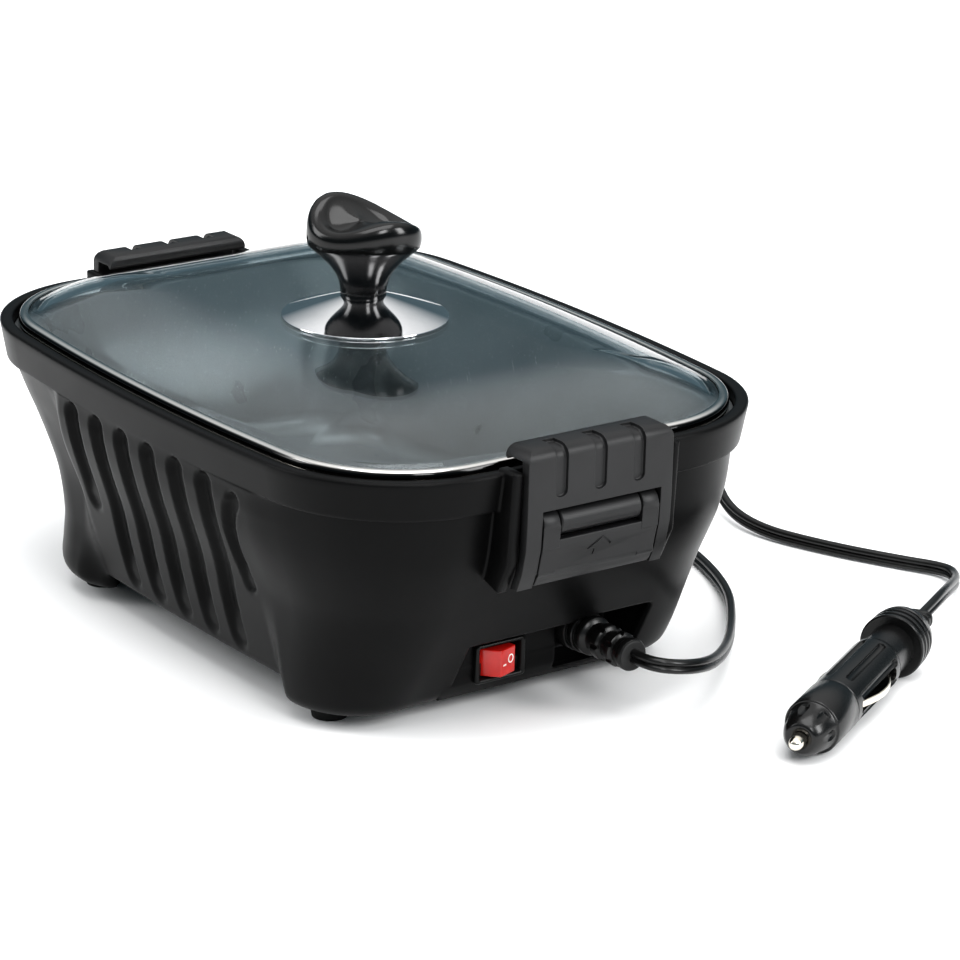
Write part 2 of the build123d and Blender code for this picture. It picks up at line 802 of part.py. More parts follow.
knob_sections = [
    (0.0, 8.9, 8.9),
    (0.16, 8.6, 8.6),
    (0.34, 9.6, 9.4),
    (0.48, 16.0, 13.5),
    (0.58, 21.0, 16.6),
    (0.70, knob_half_long, knob_half_short),
    (0.84, 20.5, 15.5),
    (1.0, 15.5, 10.5),
]
with BuildPart() as knob:
    for part, long_radius, short_radius in knob_sections:
        with BuildSketch(Plane.XY.offset(knob_bottom + part * (knob_top - knob_bottom))):
            Ellipse(long_radius, short_radius, rotation=knob_yaw)
    loft(ruled=True)
    with Locations(Pos(0, 0, knob_top - 4) * Rot(0, 0, knob_yaw) * Rot(0, 19, 0)):
        with Locations((8, 0, 10)):
            Box(70, 60, 20, mode=Mode.SUBTRACT)
    add(rod(0, 0, knob_bottom - 1, knob_bottom + insert_length, insert_radius + 0.02), mode=Mode.SUBTRACT)
save(knob.part, "knob")

with BuildPart() as knob_insert:
    add(rod(0, 0, knob_bottom, knob_bottom + insert_length, insert_radius))
    add(rod(0, 0, knob_bottom - 1, knob_bottom + 20, knob_screw_radius + 0.02), mode=Mode.SUBTRACT)
save(knob_insert.part, "knob_insert")

washer_top = glass_top - glass_thickness
with BuildPart() as knob_washer:
    add(rod(0, 0, washer_top - 1.5, washer_top, 8))
    add(rod(0, 0, washer_top - 2, washer_top + 1, knob_screw_radius + 0.1), mode=Mode.SUBTRACT)
save(knob_washer.part, "knob_washer")

with BuildPart() as knob_screw:
    add(rod(0, 0, washer_top - 3.3, washer_top - 1.5, 5.5))
    add(rod(0, 0, washer_top - 2, knob_bottom + insert_length - 1, knob_screw_radius))
    with Locations((0, 0, washer_top - 3.3)):
        Box(7, 1, 1.6, mode=Mode.SUBTRACT)
        Box(1, 7, 1.6, mode=Mode.SUBTRACT)
save(knob_screw.part, "knob_screw")

# Latches: the same four pieces at both ends
lever_profile = [
    (143.3, 79.9),
    (147.0, 79.9),
    (146.7, 76.0),
    (144.8, 68.0),
    (142.0, 62.6),
    (138.6, 62.6),
    (140.6, 68.0),
    (142.8, 76.0),
]
horn_profile = [(pivot_x - 2, pivot_z), (147.4, pivot_z), (147.0, 78.0), (143.0, 78.0)]
hook_outer = [
    (hook_inner_x, hook_top),
    (143.6, hook_top),
    (146.2, 112.9),
    (hook_front_x, 110.2),
    (hook_front_x, 88.0),
    (146.8, 78.0),
    (144.8, 68.8),
    (142.0, hook_bottom),
]
hook_under = [
    (138.2, hook_bottom),
    (140.8, 68.8),
    (142.9, 78.0),
    (143.4, 88.0),
    (143.4, 109.6),
    (136.0, 109.6),
    (134.6, 108.0),
    (hook_inner_x, 108.0),
]

with BuildPart() as front_lever:
    add(side_profile(lever_profile, -lever_half, lever_half))
    for low, high in ((-lever_half, -barrel_half - 0.5), (barrel_half + 0.5, lever_half)):
        add(side_profile(horn_profile, low, high))
        add(rod_along_y(pivot_x, pivot_z, low, high, barrel_radius))
        add(rod_along_y(link_x, link_z, low, high, 2.3))
    reach = lever_half + 1
    add(rod_along_y(pivot_x, pivot_z, -reach, reach, lever_pin_radius + 0.08), mode=Mode.SUBTRACT)
    for low, high in ((-reach, -15), (15, reach)):
        add(rod_along_y(link_x, link_z, low, high, hook_pin_radius + 0.02), mode=Mode.SUBTRACT)

with BuildPart() as front_hook:
    add(side_profile(hook_outer + hook_under, -hook_half, hook_half))
    add(
        block((130, 160), (-hook_leg_inner, hook_leg_inner), (hook_bottom - 5, window_top)),
        mode=Mode.SUBTRACT,
    )
    for column in (-1, 0, 1):
        low = column * hook_groove_pitch - hook_groove_width / 2
        sides = (low, low + hook_groove_width)
        add(block((139, 160), sides, (hook_top - hook_groove_depth, 120)), mode=Mode.SUBTRACT)
        add(block((hook_front_x - hook_groove_depth, 160), sides, (95.5, 120)), mode=Mode.SUBTRACT)
    reach = hook_half + 1
    add(rod_along_y(link_x, link_z, -reach, reach, hook_pin_radius + 0.08), mode=Mode.SUBTRACT)

with BuildPart() as front_lever_pin:
    add(rod_along_y(pivot_x, pivot_z, -lever_half + 0.5, lever_half - 0.5, lever_pin_radius))

with BuildPart() as front_hook_pin:
    for low, high in ((-hook_half + 0.5, -15.2), (15.2, hook_half - 0.5)):
        add(rod_along_y(link_x, link_z, low, high, hook_pin_radius))

latch_pieces = {
    "lever": front_lever.part,
    "hook": front_hook.part,
    "lever_pin": front_lever_pin.part,
    "hook_pin": front_hook_pin.part,
}
for piece_name, piece in latch_pieces.items():
    save(Part() + piece, f"front_{piece_name}")
    save(Part() + Rot(0, 0, 180) * piece, f"rear_{piece_name}")

# Rocker switch
with BuildPart() as switch_body:
    half_length = switch_length / 2
    half_height = switch_height / 2
    y_range = (switch_y - half_length, switch_y + half_length)
    z_range = (switch_z - half_height, switch_z + half_height)
    add(block((panel_plane - switch_depth, panel_plane), y_range, z_range))
    with Locations((panel_plane + bezel_thickness / 2, switch_y, switch_z)):
        Box(bezel_thickness, bezel_length, bezel_height)
    with Locations((panel_plane - 1.5, switch_y, switch_z)):
        Box(12, 2 * rocker_window, rocker_height + 0.6, mode=Mode.SUBTRACT)
    add(rod(rocker_pivot_x, switch_y, switch_z - 5.9, switch_z + 5.9, 1.3), mode=Mode.SUBTRACT)
save(switch_body.part, "switch_body")

with BuildPart() as rocker:
    with BuildSketch(Plane.XY.offset(switch_z - rocker_height / 2)):
        with Locations(Location((rocker_pivot_x, switch_y), -rocker_tilt)):
            Polygon(
                (5.5, -rocker_half),
                (rocker_peak, 0),
                (5.5, rocker_half),
                (1.5, 5.4),
                (-1.5, 2.5),
                (-1.5, -2.5),
                (1.5, -5.4),
                align=None,
            )
    extrude(amount=rocker_height)
    add(rod(rocker_pivot_x, switch_y, switch_z - 5.7, switch_z + 5.7, 1.2))
save(rocker.part, "rocker")

with BuildPart() as switch_terminals:
    for y in (-6, 0, 6):
        with Locations((panel_plane - switch_depth - 4, switch_y + y, switch_z)):
            Box(8, 0.8, 4.8)
save(switch_terminals.part, "switch_terminals")

# Inlet socket with its pins, and the connector on the cord
with BuildPart() as inlet_socket:
    half_length = inlet_length / 2
    half_height = inlet_height / 2
    add(
        block(
            (inlet_back - 13, inlet_back),
            (inlet_y - half_length, inlet_y + half_length),
            (inlet_z - half_height, inlet_z + half_height),
        )
    )
    with Locations((inlet_back + 0.75, inlet_y, inlet_z)):
        Box(1.5, inlet_length + 2.4, inlet_height + 3)
    for side in (-1, 1):
        y = inlet_y + side * inlet_pin_spacing / 2
        add(rod_along_x(y, inlet_z, 60, 100, inlet_pin_radius + 0.02), mode=Mode.SUBTRACT)
save(inlet_socket.part, "inlet_socket")

with BuildPart() as inlet_pins:
    for side in (-1, 1):
        y = inlet_y + side * inlet_pin_spacing / 2
        add(rod_along_x(y, inlet_z, inlet_back - 18, inlet_back + 11, inlet_pin_radius))
save(inlet_pins.part, "inlet_pins")

connector_sections = [
    (connector_front, 8.2),
    (106.0, 8.2),
    (106.0, 7.0),
    (108.0, 7.0),
    (108.0, 7.8),
    (110.0, 7.8),
    (110.0, 6.6),
    (112.0, 6.6),
    (112.0, 7.4),
    (114.5, 7.4),
    (115.5, 5.2),
    (119.0, 5.2),
    (119.5, 6.8),
    (123.0, 6.8),
    (123.5, 5.0),
    (126.5, 5.0),
    (127.0, 6.5),
    (130.0, 6.5),
    (130.5, 5.0),
    (132.5, 5.0),
    (133.0, 5.9),
    (connector_end, 5.9),
]


def turned(sections):
    """Solid of revolution about X through a list of positions and radii."""
    with BuildPart() as body:
        with BuildSketch(Plane.XZ):
            with BuildLine():
                Polyline((sections[0][0], 0), *sections, (sections[-1][0], 0), close=True)
            make_face()
        revolve(axis=Axis.X)
    return body.part


with BuildPart() as connector:
    add(Pos(0, inlet_y, inlet_z) * turned(connector_sections))
    for side in (-1, 1):
        y = inlet_y + side * inlet_pin_spacing / 2
        add(
            rod_along_x(y, inlet_z, connector_front - 1, inlet_back + 12, inlet_pin_radius + 0.1),
            mode=Mode.SUBTRACT,
        )
save(connector.part, "connector")

# Cord: near run from the connector to the coil, coil, far run to the plug
coil_high = coil_low + coil_turns * coil_pitch
coil_climb = coil_pitch / (2 * math.pi * coil_radius)
near_route = [
    (connector_end, inlet_y, inlet_z),
    (144.5, inlet_y, inlet_z),
    (150.0, 30.5, 23.6),
    (150.0, 43.0, 21.0),
    (140.0, 60.0, 16.2),
    (119.0, 83.0, 10.5),
    (92.0, 107.0, 6.0),
    (62.0, 130.0, 3.6),
    (27.0, 144.5, 3.2),
    (-12.0, 152.0, 3.2),
    (coil_x + 40, coil_y - coil_radius, coil_low - 40 * coil_climb),
    (coil_x, coil_y - coil_radius, coil_low),
]
far_route = [
    (coil_x, coil_y + coil_radius, coil_high),
    (coil_x + 24, coil_y + coil_radius, coil_high + 24 * coil_climb),
    (-44.0, 206.0, 20.0),
    (-18.0, 189.0, 7.0),
    (10.0, 185.0, 3.4),
    (42.0, 196.0, 3.2),
    (70.0, 210.0, 3.2),
    (88.0, 220.5, 3.4),
    (101.5, 212.5, 5.2),
    (114.0, 198.0, 9.2),
    (124.5, 184.3, 12.4),
    tuple(place + plug_far_straight * step for place, step in zip(plug_tip, plug_direction)),
    tuple(place + plug_relief_back * step for place, step in zip(plug_tip, plug_direction)),
]


def tube(points, label):
    """Round tube along straight runs joined by arcs."""
    radii, total = route_radii(points)
    with BuildPart() as run:
        with BuildLine() as path:
            FilletPolyline(*points, radius=radii)
        with BuildSketch(Plane(path.line @ 0, z_dir=path.line % 0)):
            Circle(cord_diameter / 2)
        sweep()
    expected = math.pi * (cord_diameter / 2) ** 2 * total
    print(label, "radii", [round(radius, 1) for radius in radii])
    print(label, "length", round(total, 1), "volume share", round(run.part.volume / expected, 4))
    return run.part, total


def coil_point(turn):
    """Place and direction on the coil after some turns, seen from above turning clockwise."""
    angle = -math.pi / 2 - turn * 2 * math.pi
    place = Vector(
        coil_x + coil_radius * math.cos(angle),
        coil_y + coil_radius * math.sin(angle),
        coil_low + turn * coil_pitch,
    )
    heading = Vector(math.sin(angle), -math.cos(angle), coil_climb).normalized()
    return place, heading


def biarc(start, start_heading, end, end_heading):
    """Two arcs that join two places with the given headings."""
    gap = end - start
    both = start_heading + end_heading
    share = 2 * (1 - start_heading.dot(end_heading))
    reach = (-gap.dot(both) + math.sqrt(gap.dot(both) ** 2 + share * gap.dot(gap))) / share
    first = start + start_heading * reach
    second = end - end_heading * reach
    middle = (first + second) / 2
    TangentArc(start, middle, tangent=start_heading)
    TangentArc(middle, end, tangent=second - first)


quarters = round(coil_turns * 4)
with BuildPart() as cord_coil:
    with BuildLine() as winding:
        for quarter in range(quarters):
            biarc(*coil_point(quarter / 4), *coil_point((quarter + 1) / 4))
    with BuildSketch(Plane(winding.line @ 0, z_dir=winding.line % 0)):
        Circle(cord_diameter / 2)
    sweep()
coil_length = sum(edge.length for edge in winding.edges())
coil_points = [coil_point(step / 72)[0] for step in range(round(coil_turns * 72) + 1)]
least = min(
    (coil_points[i] - coil_points[j]).length - cord_diameter
    for i in range(0, len(coil_points), 2)
    for j in range(i + 36, len(coil_points), 2)
)
print("coil length", round(coil_length, 1), "least gap to itself", round(least, 2))
save(cord_coil.part, "cord_coil")

near_run, near_length = tube(near_route, "near run")
far_run, far_length = tube(far_route, "far run")
print("cord length", round(near_length + coil_length + far_length, 1))
save(near_run, "cord_run_near")
save(far_run, "cord_run_far")

with BuildPart() as coil_tie:
    tie_x = coil_x - coil_radius
    tie_low = coil_low - cord_diameter / 2
    tie_high = coil_high + cord_diameter / 2
    tie_half = cord_diameter / 2 + 0.5
    y_range = (coil_y - tie_width / 2, coil_y + tie_width / 2)
    add(block((tie_x - tie_half - 0.8, tie_x + tie_half + 0.8), y_range, (tie_low - 1.1, tie_high + 1.1)))
    add(
        block((tie_x - tie_half, tie_x + tie_half), (0, 300), (tie_low - 0.3, tie_high + 0.3)),
        mode=Mode.SUBTRACT,
    )
save(coil_tie.part, "coil_tie")

# Vehicle plug, made along X from its tip and then laid in its place on the floor
plug_place = Plane(origin=plug_tip, x_dir=plug_direction, z_dir=(0.0125, -0.0225, 1.0)).location


def along_plug(low, high, radius):
    """Cylinder on the plug's axis."""
    return rod_along_x(0, 0, low, high, radius)


with BuildPart() as plug_cap:
    add(
        turned(
            [
                (6.5, 5.6),
                (9.0, 7.2),
                (13.0, 8.6),
                (plug_cap_front, 9.4),
                (plug_cap_front, plug_cap_radius),
                (plug_cap_back, plug_cap_radius),
            ]
        )
    )
    add(along_plug(0, 25, plug_pin_radius + 0.1), mode=Mode.SUBTRACT)
    add(along_plug(20, plug_cap_back + 1, 7.2), mode=Mode.SUBTRACT)
save(plug_place * plug_cap.part, "plug_cap")

with BuildPart() as plug_barrel:
    add(along_plug(plug_cap_back, plug_barrel_back, plug_barrel_radius))
    add(along_plug(plug_cap_back - 10, plug_cap_back, 7.18))
    add(along_plug(plug_barrel_back, plug_neck_back, plug_neck_radius))
    add(along_plug(plug_cap_back - 11, 64, plug_fuse_radius + 0.3), mode=Mode.SUBTRACT)
    slot_half = plug_contact_width / 2 + 0.4
    for side in (-1, 1):
        slot = sorted((side * 5.4, side * 12))
        add(block(plug_slot, slot, (-slot_half, slot_half)), mode=Mode.SUBTRACT)
save(plug_place * plug_barrel.part, "plug_barrel")

with BuildPart() as plug_tip_contact:
    add(turned([(0.0, 0.9), (1.4, 2.2), (3.0, plug_pin_radius), (20.3, plug_pin_radius)]))
    add(along_plug(20.3, 22.0, 4.4))
save(plug_place * plug_tip_contact.part, "plug_tip")

with BuildPart() as plug_fuse:
    add(along_plug(31.5, 63.3, plug_fuse_radius))
save(plug_place * plug_fuse.part, "plug_fuse")

with BuildPart() as plug_spring:
    spring_turns = 3
    spring_low = 22.5
    spring_pitch = 1.9
    with BuildLine() as wire:
        Helix(spring_pitch, spring_pitch * spring_turns, 2.3, center=(spring_low, 0, 0), direction=(1, 0, 0))
    with BuildSketch(Plane(wire.line @ 0, z_dir=wire.line % 0)):
        Circle(0.4)
    sweep()
save(plug_place * plug_spring.part, "plug_spring")

for piece_name, side in (("plug_contact_left", 1), ("plug_contact_right", -1)):
    leaf = [(43.0, 8.0), (50.0, 10.8), (58.0, 12.6), (66.0, 12.0), (74.0, 8.6)]
    inner = [(s, r - 0.8) for s, r in reversed(leaf)]
    with BuildPart() as plug_contact:
        with BuildSketch(Plane.XY.offset(-plug_contact_width / 2)):
            with BuildLine():
                Polyline(*[(s, side * r) for s, r in leaf + inner], close=True)
            make_face()
        extrude(amount=plug_contact_width)
    save(plug_place * plug_contact.part, piece_name)

with BuildPart() as plug_flange:
    ring = (plug_flange_back - plug_neck_back) / 5
    sections = []
    for index in range(5):
        radius = plug_flange_radius - (1.0 if index % 2 else 0.0)
        sections.append((plug_neck_back + index * ring, radius))
        sections.append((plug_neck_back + (index + 1) * ring, radius))
    add(turned(sections))
save(plug_place * plug_flange.part, "plug_flange")

with BuildPart() as plug_relief:
    rib_count = 6
    length = plug_relief_back - plug_flange_back
    with Locations((plug_flange_back + length / 2, 0, 0)):
        Box(length, 9.0, 6.4)
    for rib_index in range(rib_count):
        rib_at = plug_flange_back + 1.4 + rib_index * (length - 2.8) / (rib_count - 1)
        with Locations((rib_at, 0, 0)):
            Box(1.8, 12.0 - rib_index * 0.3, 8.6 - rib_index * 0.3)
save(plug_place * plug_relief.part, "plug_relief")
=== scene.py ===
"""Portable roaster oven: finished pieces, finishes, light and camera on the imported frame."""

import logging
import math
from dataclasses import dataclass
from enum import Enum
from typing import Sequence

import bmesh
import bpy
from mathutils import Matrix, Vector


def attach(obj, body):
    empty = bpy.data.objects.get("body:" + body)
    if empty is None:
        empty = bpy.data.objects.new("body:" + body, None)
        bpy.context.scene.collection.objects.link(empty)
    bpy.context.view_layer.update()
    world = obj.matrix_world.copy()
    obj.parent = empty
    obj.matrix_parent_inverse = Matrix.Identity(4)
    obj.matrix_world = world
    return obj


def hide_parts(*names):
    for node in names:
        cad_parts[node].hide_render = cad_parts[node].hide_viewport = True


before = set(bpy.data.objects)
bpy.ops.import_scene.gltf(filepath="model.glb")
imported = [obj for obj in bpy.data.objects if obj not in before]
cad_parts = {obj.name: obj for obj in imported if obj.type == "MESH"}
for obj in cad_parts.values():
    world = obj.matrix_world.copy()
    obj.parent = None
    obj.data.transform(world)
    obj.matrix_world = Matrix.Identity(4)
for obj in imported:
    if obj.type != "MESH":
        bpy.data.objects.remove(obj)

LOG = logging.getLogger("roaster")
MM = 0.001
Pair = tuple[float, float]
Point = tuple[float, float, float]
Knots = Sequence[Sequence[float]]
Ring = list[Vector]
Piece = bpy.types.Object
Socket = bpy.types.NodeSocket
Material = bpy.types.Material


class Axis(Enum):
    """Direction that a prism or a turned piece is made along."""

    X = "X"
    Y = "Y"
    Z = "Z"


@dataclass(frozen=True)
class Outline:
    """The roaster's plan outline: a rounded rectangle with swelling long sides, in millimetres."""

    half_x: float = 140.0
    half_y: float = 103.8
    corner: float = 57.0
    bow: float = 9.2
    long_steps: int = 24
    corner_steps: int = 18
    short_steps: int = 8
    straight_inset: float = 10.8
    bow_fade: float = 90.0

    def points(self, inset: float = 0.0, least_corner: float = 18.0) -> list[Pair]:
        """Points round the outline, moved inward.

        Args:
            inset: distance inward.
            least_corner: smallest corner radius to keep.

        Returns:
            Plan points, anticlockwise from the middle of the +X end.
        """
        half_x, half_y = self.half_x - inset, self.half_y - inset
        corner = max(self.corner - inset, least_corner)
        bow = self.bow * (1 - max(0.0, inset - self.straight_inset) / self.bow_fade)
        swell = (half_x**2 + bow**2) / (2 * bow)
        middle = half_y - swell
        cx = half_x - corner
        cy = middle + math.sqrt((swell - corner) ** 2 - cx**2)
        reach = swell / (swell - corner)
        join = (cx * reach, middle + (cy - middle) * reach)
        end = math.atan2(join[1] - cy, join[0] - cx)
        quarter = [(half_x, cy * step / (self.short_steps / 2)) for step in range(self.short_steps // 2)]
        for step in range(self.corner_steps):
            angle = end * step / self.corner_steps
            quarter.append((cx + corner * math.cos(angle), cy + corner * math.sin(angle)))
        start = math.atan2(join[1] - middle, join[0])
        for step in range(self.long_steps // 2):
            angle = start + (math.pi / 2 - start) * step / (self.long_steps / 2)
            quarter.append((swell * math.cos(angle), middle + swell * math.sin(angle)))
        half = quarter + [(0.0, half_y)] + [(-x, y) for x, y in reversed(quarter[1:])]
        return half + [(-x, -y) for x, y in half]

    def ring(self, inset: float, height: float) -> Ring:
        """Ring of points in metres at a height, moved inward by inset."""
        return [Vector((x, y, height)) * MM for x, y in self.points(inset)]


def circle(radius: float, place: float, axis: Axis, steps: int, centre: Point = (0, 0, 0)) -> Ring:
    """Ring of points on a circle round an axis.

    Args:
        radius: in millimetres.
        place: how far along the axis, in millimetres.
        axis: the axis that the circle is square to.
        steps: number of points.
        centre: a point of the axis, in millimetres.

    Returns:
        Points in metres.
    """
    ring = []
    for step in range(steps):
        angle = 2 * math.pi * step / steps
        a, b = radius * math.cos(angle), radius * math.sin(angle)
        place_of = {Axis.X: (place, a, b), Axis.Y: (b, place, a), Axis.Z: (a, b, place)}[axis]
        ring.append((Vector(place_of) + Vector(centre)) * MM)
    return ring


class Bench:
    """Modelling steps, each done with Blender's own operators."""

    @staticmethod
    def pick(piece: Piece) -> None:
        """Makes one object the only selected and the active one."""
        bpy.ops.object.select_all(action="DESELECT")
        piece.select_set(True)
        bpy.context.view_layer.objects.active = piece

    @staticmethod
    def tidy(piece: Piece) -> None:
        """Merges doubles and points all faces outward."""
        Bench.pick(piece)
        bpy.ops.object.mode_set(mode="EDIT")
        bpy.ops.mesh.select_all(action="SELECT")
        bpy.ops.mesh.remove_doubles(threshold=1e-6)
        bpy.ops.mesh.normals_make_consistent(inside=False)
        bpy.ops.object.mode_set(mode="OBJECT")

    @staticmethod
    def stack(name: str, rings: Sequence[Ring], closed: bool = False) -> Piece:
        """Skin over rings: a circle is added, placed, and extruded from ring to ring.

        Args:
            name: the piece's name.
            rings: rings of as many points each.
            closed: joins the last ring to the first; otherwise both ends are filled.

        Returns:
            The new object.
        """
        count = len(rings[0])
        bpy.ops.object.select_all(action="DESELECT")
        bpy.ops.mesh.primitive_circle_add(vertices=count, radius=1.0)
        piece = bpy.context.active_object
        piece.name = piece.data.name = name
        for vertex, place in zip(piece.data.vertices, rings[0]):
            vertex.co = place
        bpy.ops.object.mode_set(mode="EDIT")
        bpy.ops.mesh.select_all(action="SELECT")
        last = list(range(count))
        for ring in rings[1:]:
            bpy.ops.mesh.extrude_edges_move()
            mesh = bmesh.from_edit_mesh(piece.data)
            mesh.verts.ensure_lookup_table()
            partner = {}
            for vertex in mesh.verts:
                if vertex.select:
                    for edge in vertex.link_edges:
                        other = edge.other_vert(vertex)
                        if not other.select:
                            partner[other.index] = vertex
            last = [partner[index].index for index in last]
            for index, place in zip(last, ring):
                mesh.verts[index].co = place
            bmesh.update_edit_mesh(piece.data)
        if closed:
            bpy.ops.mesh.select_mode(type="EDGE")
            bpy.ops.mesh.select_all(action="DESELECT")
            bpy.ops.mesh.select_non_manifold()
            bpy.ops.mesh.bridge_edge_loops()
        else:
            bpy.ops.mesh.edge_face_add()
            bpy.ops.mesh.select_mode(type="VERT")
            bpy.ops.mesh.select_all(action="DESELECT")
            mesh = bmesh.from_edit_mesh(piece.data)
            mesh.verts.ensure_lookup_table()
            for index in range(count):
                mesh.verts[index].select = True
            mesh.select_flush(True)
            bpy.ops.mesh.edge_face_add()
        bpy.ops.mesh.select_mode(type="VERT")
        bpy.ops.object.mode_set(mode="OBJECT")
        Bench.tidy(piece)
        return piece

    @staticmethod
    def prism(name: str, points: Knots, axis: Axis, low: float, high: float) -> Piece:
        """Solid with a flat outline, extruded along an axis.

        Args:
            name: the piece's name.
            points: outline in millimetres; along Y its pairs are X and Z, along X they are Y and Z.
            axis: direction of the extrusion.
            low: where it starts, in millimetres.
            high: where it ends.

        Returns:
            The new object.
        """
        place = {
            Axis.X: lambda a, b, s: (s, a, b),
            Axis.Y: lambda a, b, s: (a, s, b),
            Axis.Z: lambda a, b, s: (a, b, s),
        }[axis]
        bpy.ops.object.select_all(action="DESELECT")
        bpy.ops.mesh.primitive_circle_add(vertices=len(points), radius=1.0, fill_type="NGON")
        piece = bpy.context.active_object
        piece.name = piece.data.name = name
        for vertex, (a, b) in zip(piece.data.vertices, points):
            vertex.co = Vector(place(a, b, low)) * MM
        step = Vector(place(0, 0, high - low)) * MM
        bpy.ops.object.mode_set(mode="EDIT")
        bpy.ops.mesh.select_all(action="SELECT")
        bpy.ops.mesh.extrude_region_move(TRANSFORM_OT_translate={"value": step})
        bpy.ops.object.mode_set(mode="OBJECT")
        Bench.tidy(piece)
        return piece

    @staticmethod
    def block(name: str, low: Point, high: Point) -> Piece:
        """Box between two corners in millimetres, as a start or a cutter."""
        centre = (Vector(low) + Vector(high)) / 2 * MM
        bpy.ops.object.select_all(action="DESELECT")
        bpy.ops.mesh.primitive_cube_add(size=1.0, location=centre)
        piece = bpy.context.active_object
        piece.name = piece.data.name = name
        piece.scale = (Vector(high) - Vector(low)) * MM
        bpy.ops.object.transform_apply(location=True, rotation=True, scale=True)
        return piece

    @staticmethod
    def turned(
        name: str, profile: Knots, axis: Axis, centre: Point = (0, 0, 0), steps: int = 64, closed: bool = False
    ) -> Piece:
        """Solid of revolution from places along the axis and radii, in millimetres."""
        return Bench.stack(name, [circle(r, s, axis, steps, centre) for s, r in profile], closed)

    @staticmethod
    def carve(piece: Piece, profile: Knots, centre: Point, radius: float, count: int, turn: float) -> None:
        """Cuts turned notches along X, spaced evenly round a centre.

        Args:
            piece: the object that changes.
            profile: places along X and radii of one notch, in millimetres.
            centre: a point of the axis that they stand round.
            radius: how far from it they stand.
            count: how many there are.
            turn: share of a pitch that they are turned by.
        """
        for index in range(count):
            angle = 2 * math.pi * (index + turn) / count
            place = (0, centre[1] + radius * math.cos(angle), centre[2] + radius * math.sin(angle))
            Bench.combine(piece, [Bench.turned("notch", profile, Axis.X, place, 20)], "DIFFERENCE")

    @staticmethod
    def join(piece: Piece, others: Sequence[Piece]) -> None:
        """Makes other objects part of a piece."""
        Bench.pick(piece)
        for other in others:
            other.select_set(True)
        bpy.ops.object.join()

    @staticmethod
    def modify(piece: Piece, kind: str, **settings: object) -> None:
        """Adds a modifier, sets it and applies it."""
        Bench.pick(piece)
        modifier = piece.modifiers.new(kind.title(), kind)
        for key, value in settings.items():
            setattr(modifier, key, value)
        bpy.ops.object.modifier_apply(modifier=modifier.name)

    @staticmethod
    def combine(piece: Piece, tools: Sequence[Piece], how: str) -> None:
        """Boolean with each tool, which is then removed.

        Args:
            piece: the object that changes.
            tools: objects to take away or to add.
            how: DIFFERENCE, UNION or INTERSECT.
        """
        for tool in tools:
            Bench.modify(piece, "BOOLEAN", operation=how, object=tool, solver="EXACT")
            bpy.data.objects.remove(tool)
        Bench.tidy(piece)

    @staticmethod
    def soften(piece: Piece, width: float, segments: int = 3, angle: float = 35.0) -> None:
        """Rounds edges sharper than an angle; width in millimetres."""
        Bench.modify(
            piece,
            "BEVEL",
            width=width * MM,
            segments=segments,
            limit_method="ANGLE",
            angle_limit=math.radians(angle),
            use_clamp_overlap=True,
            harden_normals=False,
        )

    @staticmethod
    def smooth(piece: Piece, angle: float = 35.0) -> None:
        """Smooth shading up to an angle."""
        Bench.pick(piece)
        bpy.ops.object.shade_smooth_by_angle(angle=math.radians(angle))

    @staticmethod
    def move(piece: Piece, matrix: Matrix) -> None:
        """Places a piece for good by a matrix, in its mesh."""
        Bench.pick(piece)
        piece.matrix_world = matrix
        bpy.ops.object.transform_apply(location=True, rotation=True, scale=True)

    @staticmethod
    def twin(piece: Piece, name: str, matrix: Matrix) -> Piece:
        """Copy of a piece with its own mesh, placed by a matrix."""
        other = piece.copy()
        other.data = piece.data.copy()
        other.name = other.data.name = name
        bpy.context.collection.objects.link(other)
        Bench.move(other, matrix)
        return other


HALF_TURN = Matrix.Rotation(math.pi, 4, "Z")


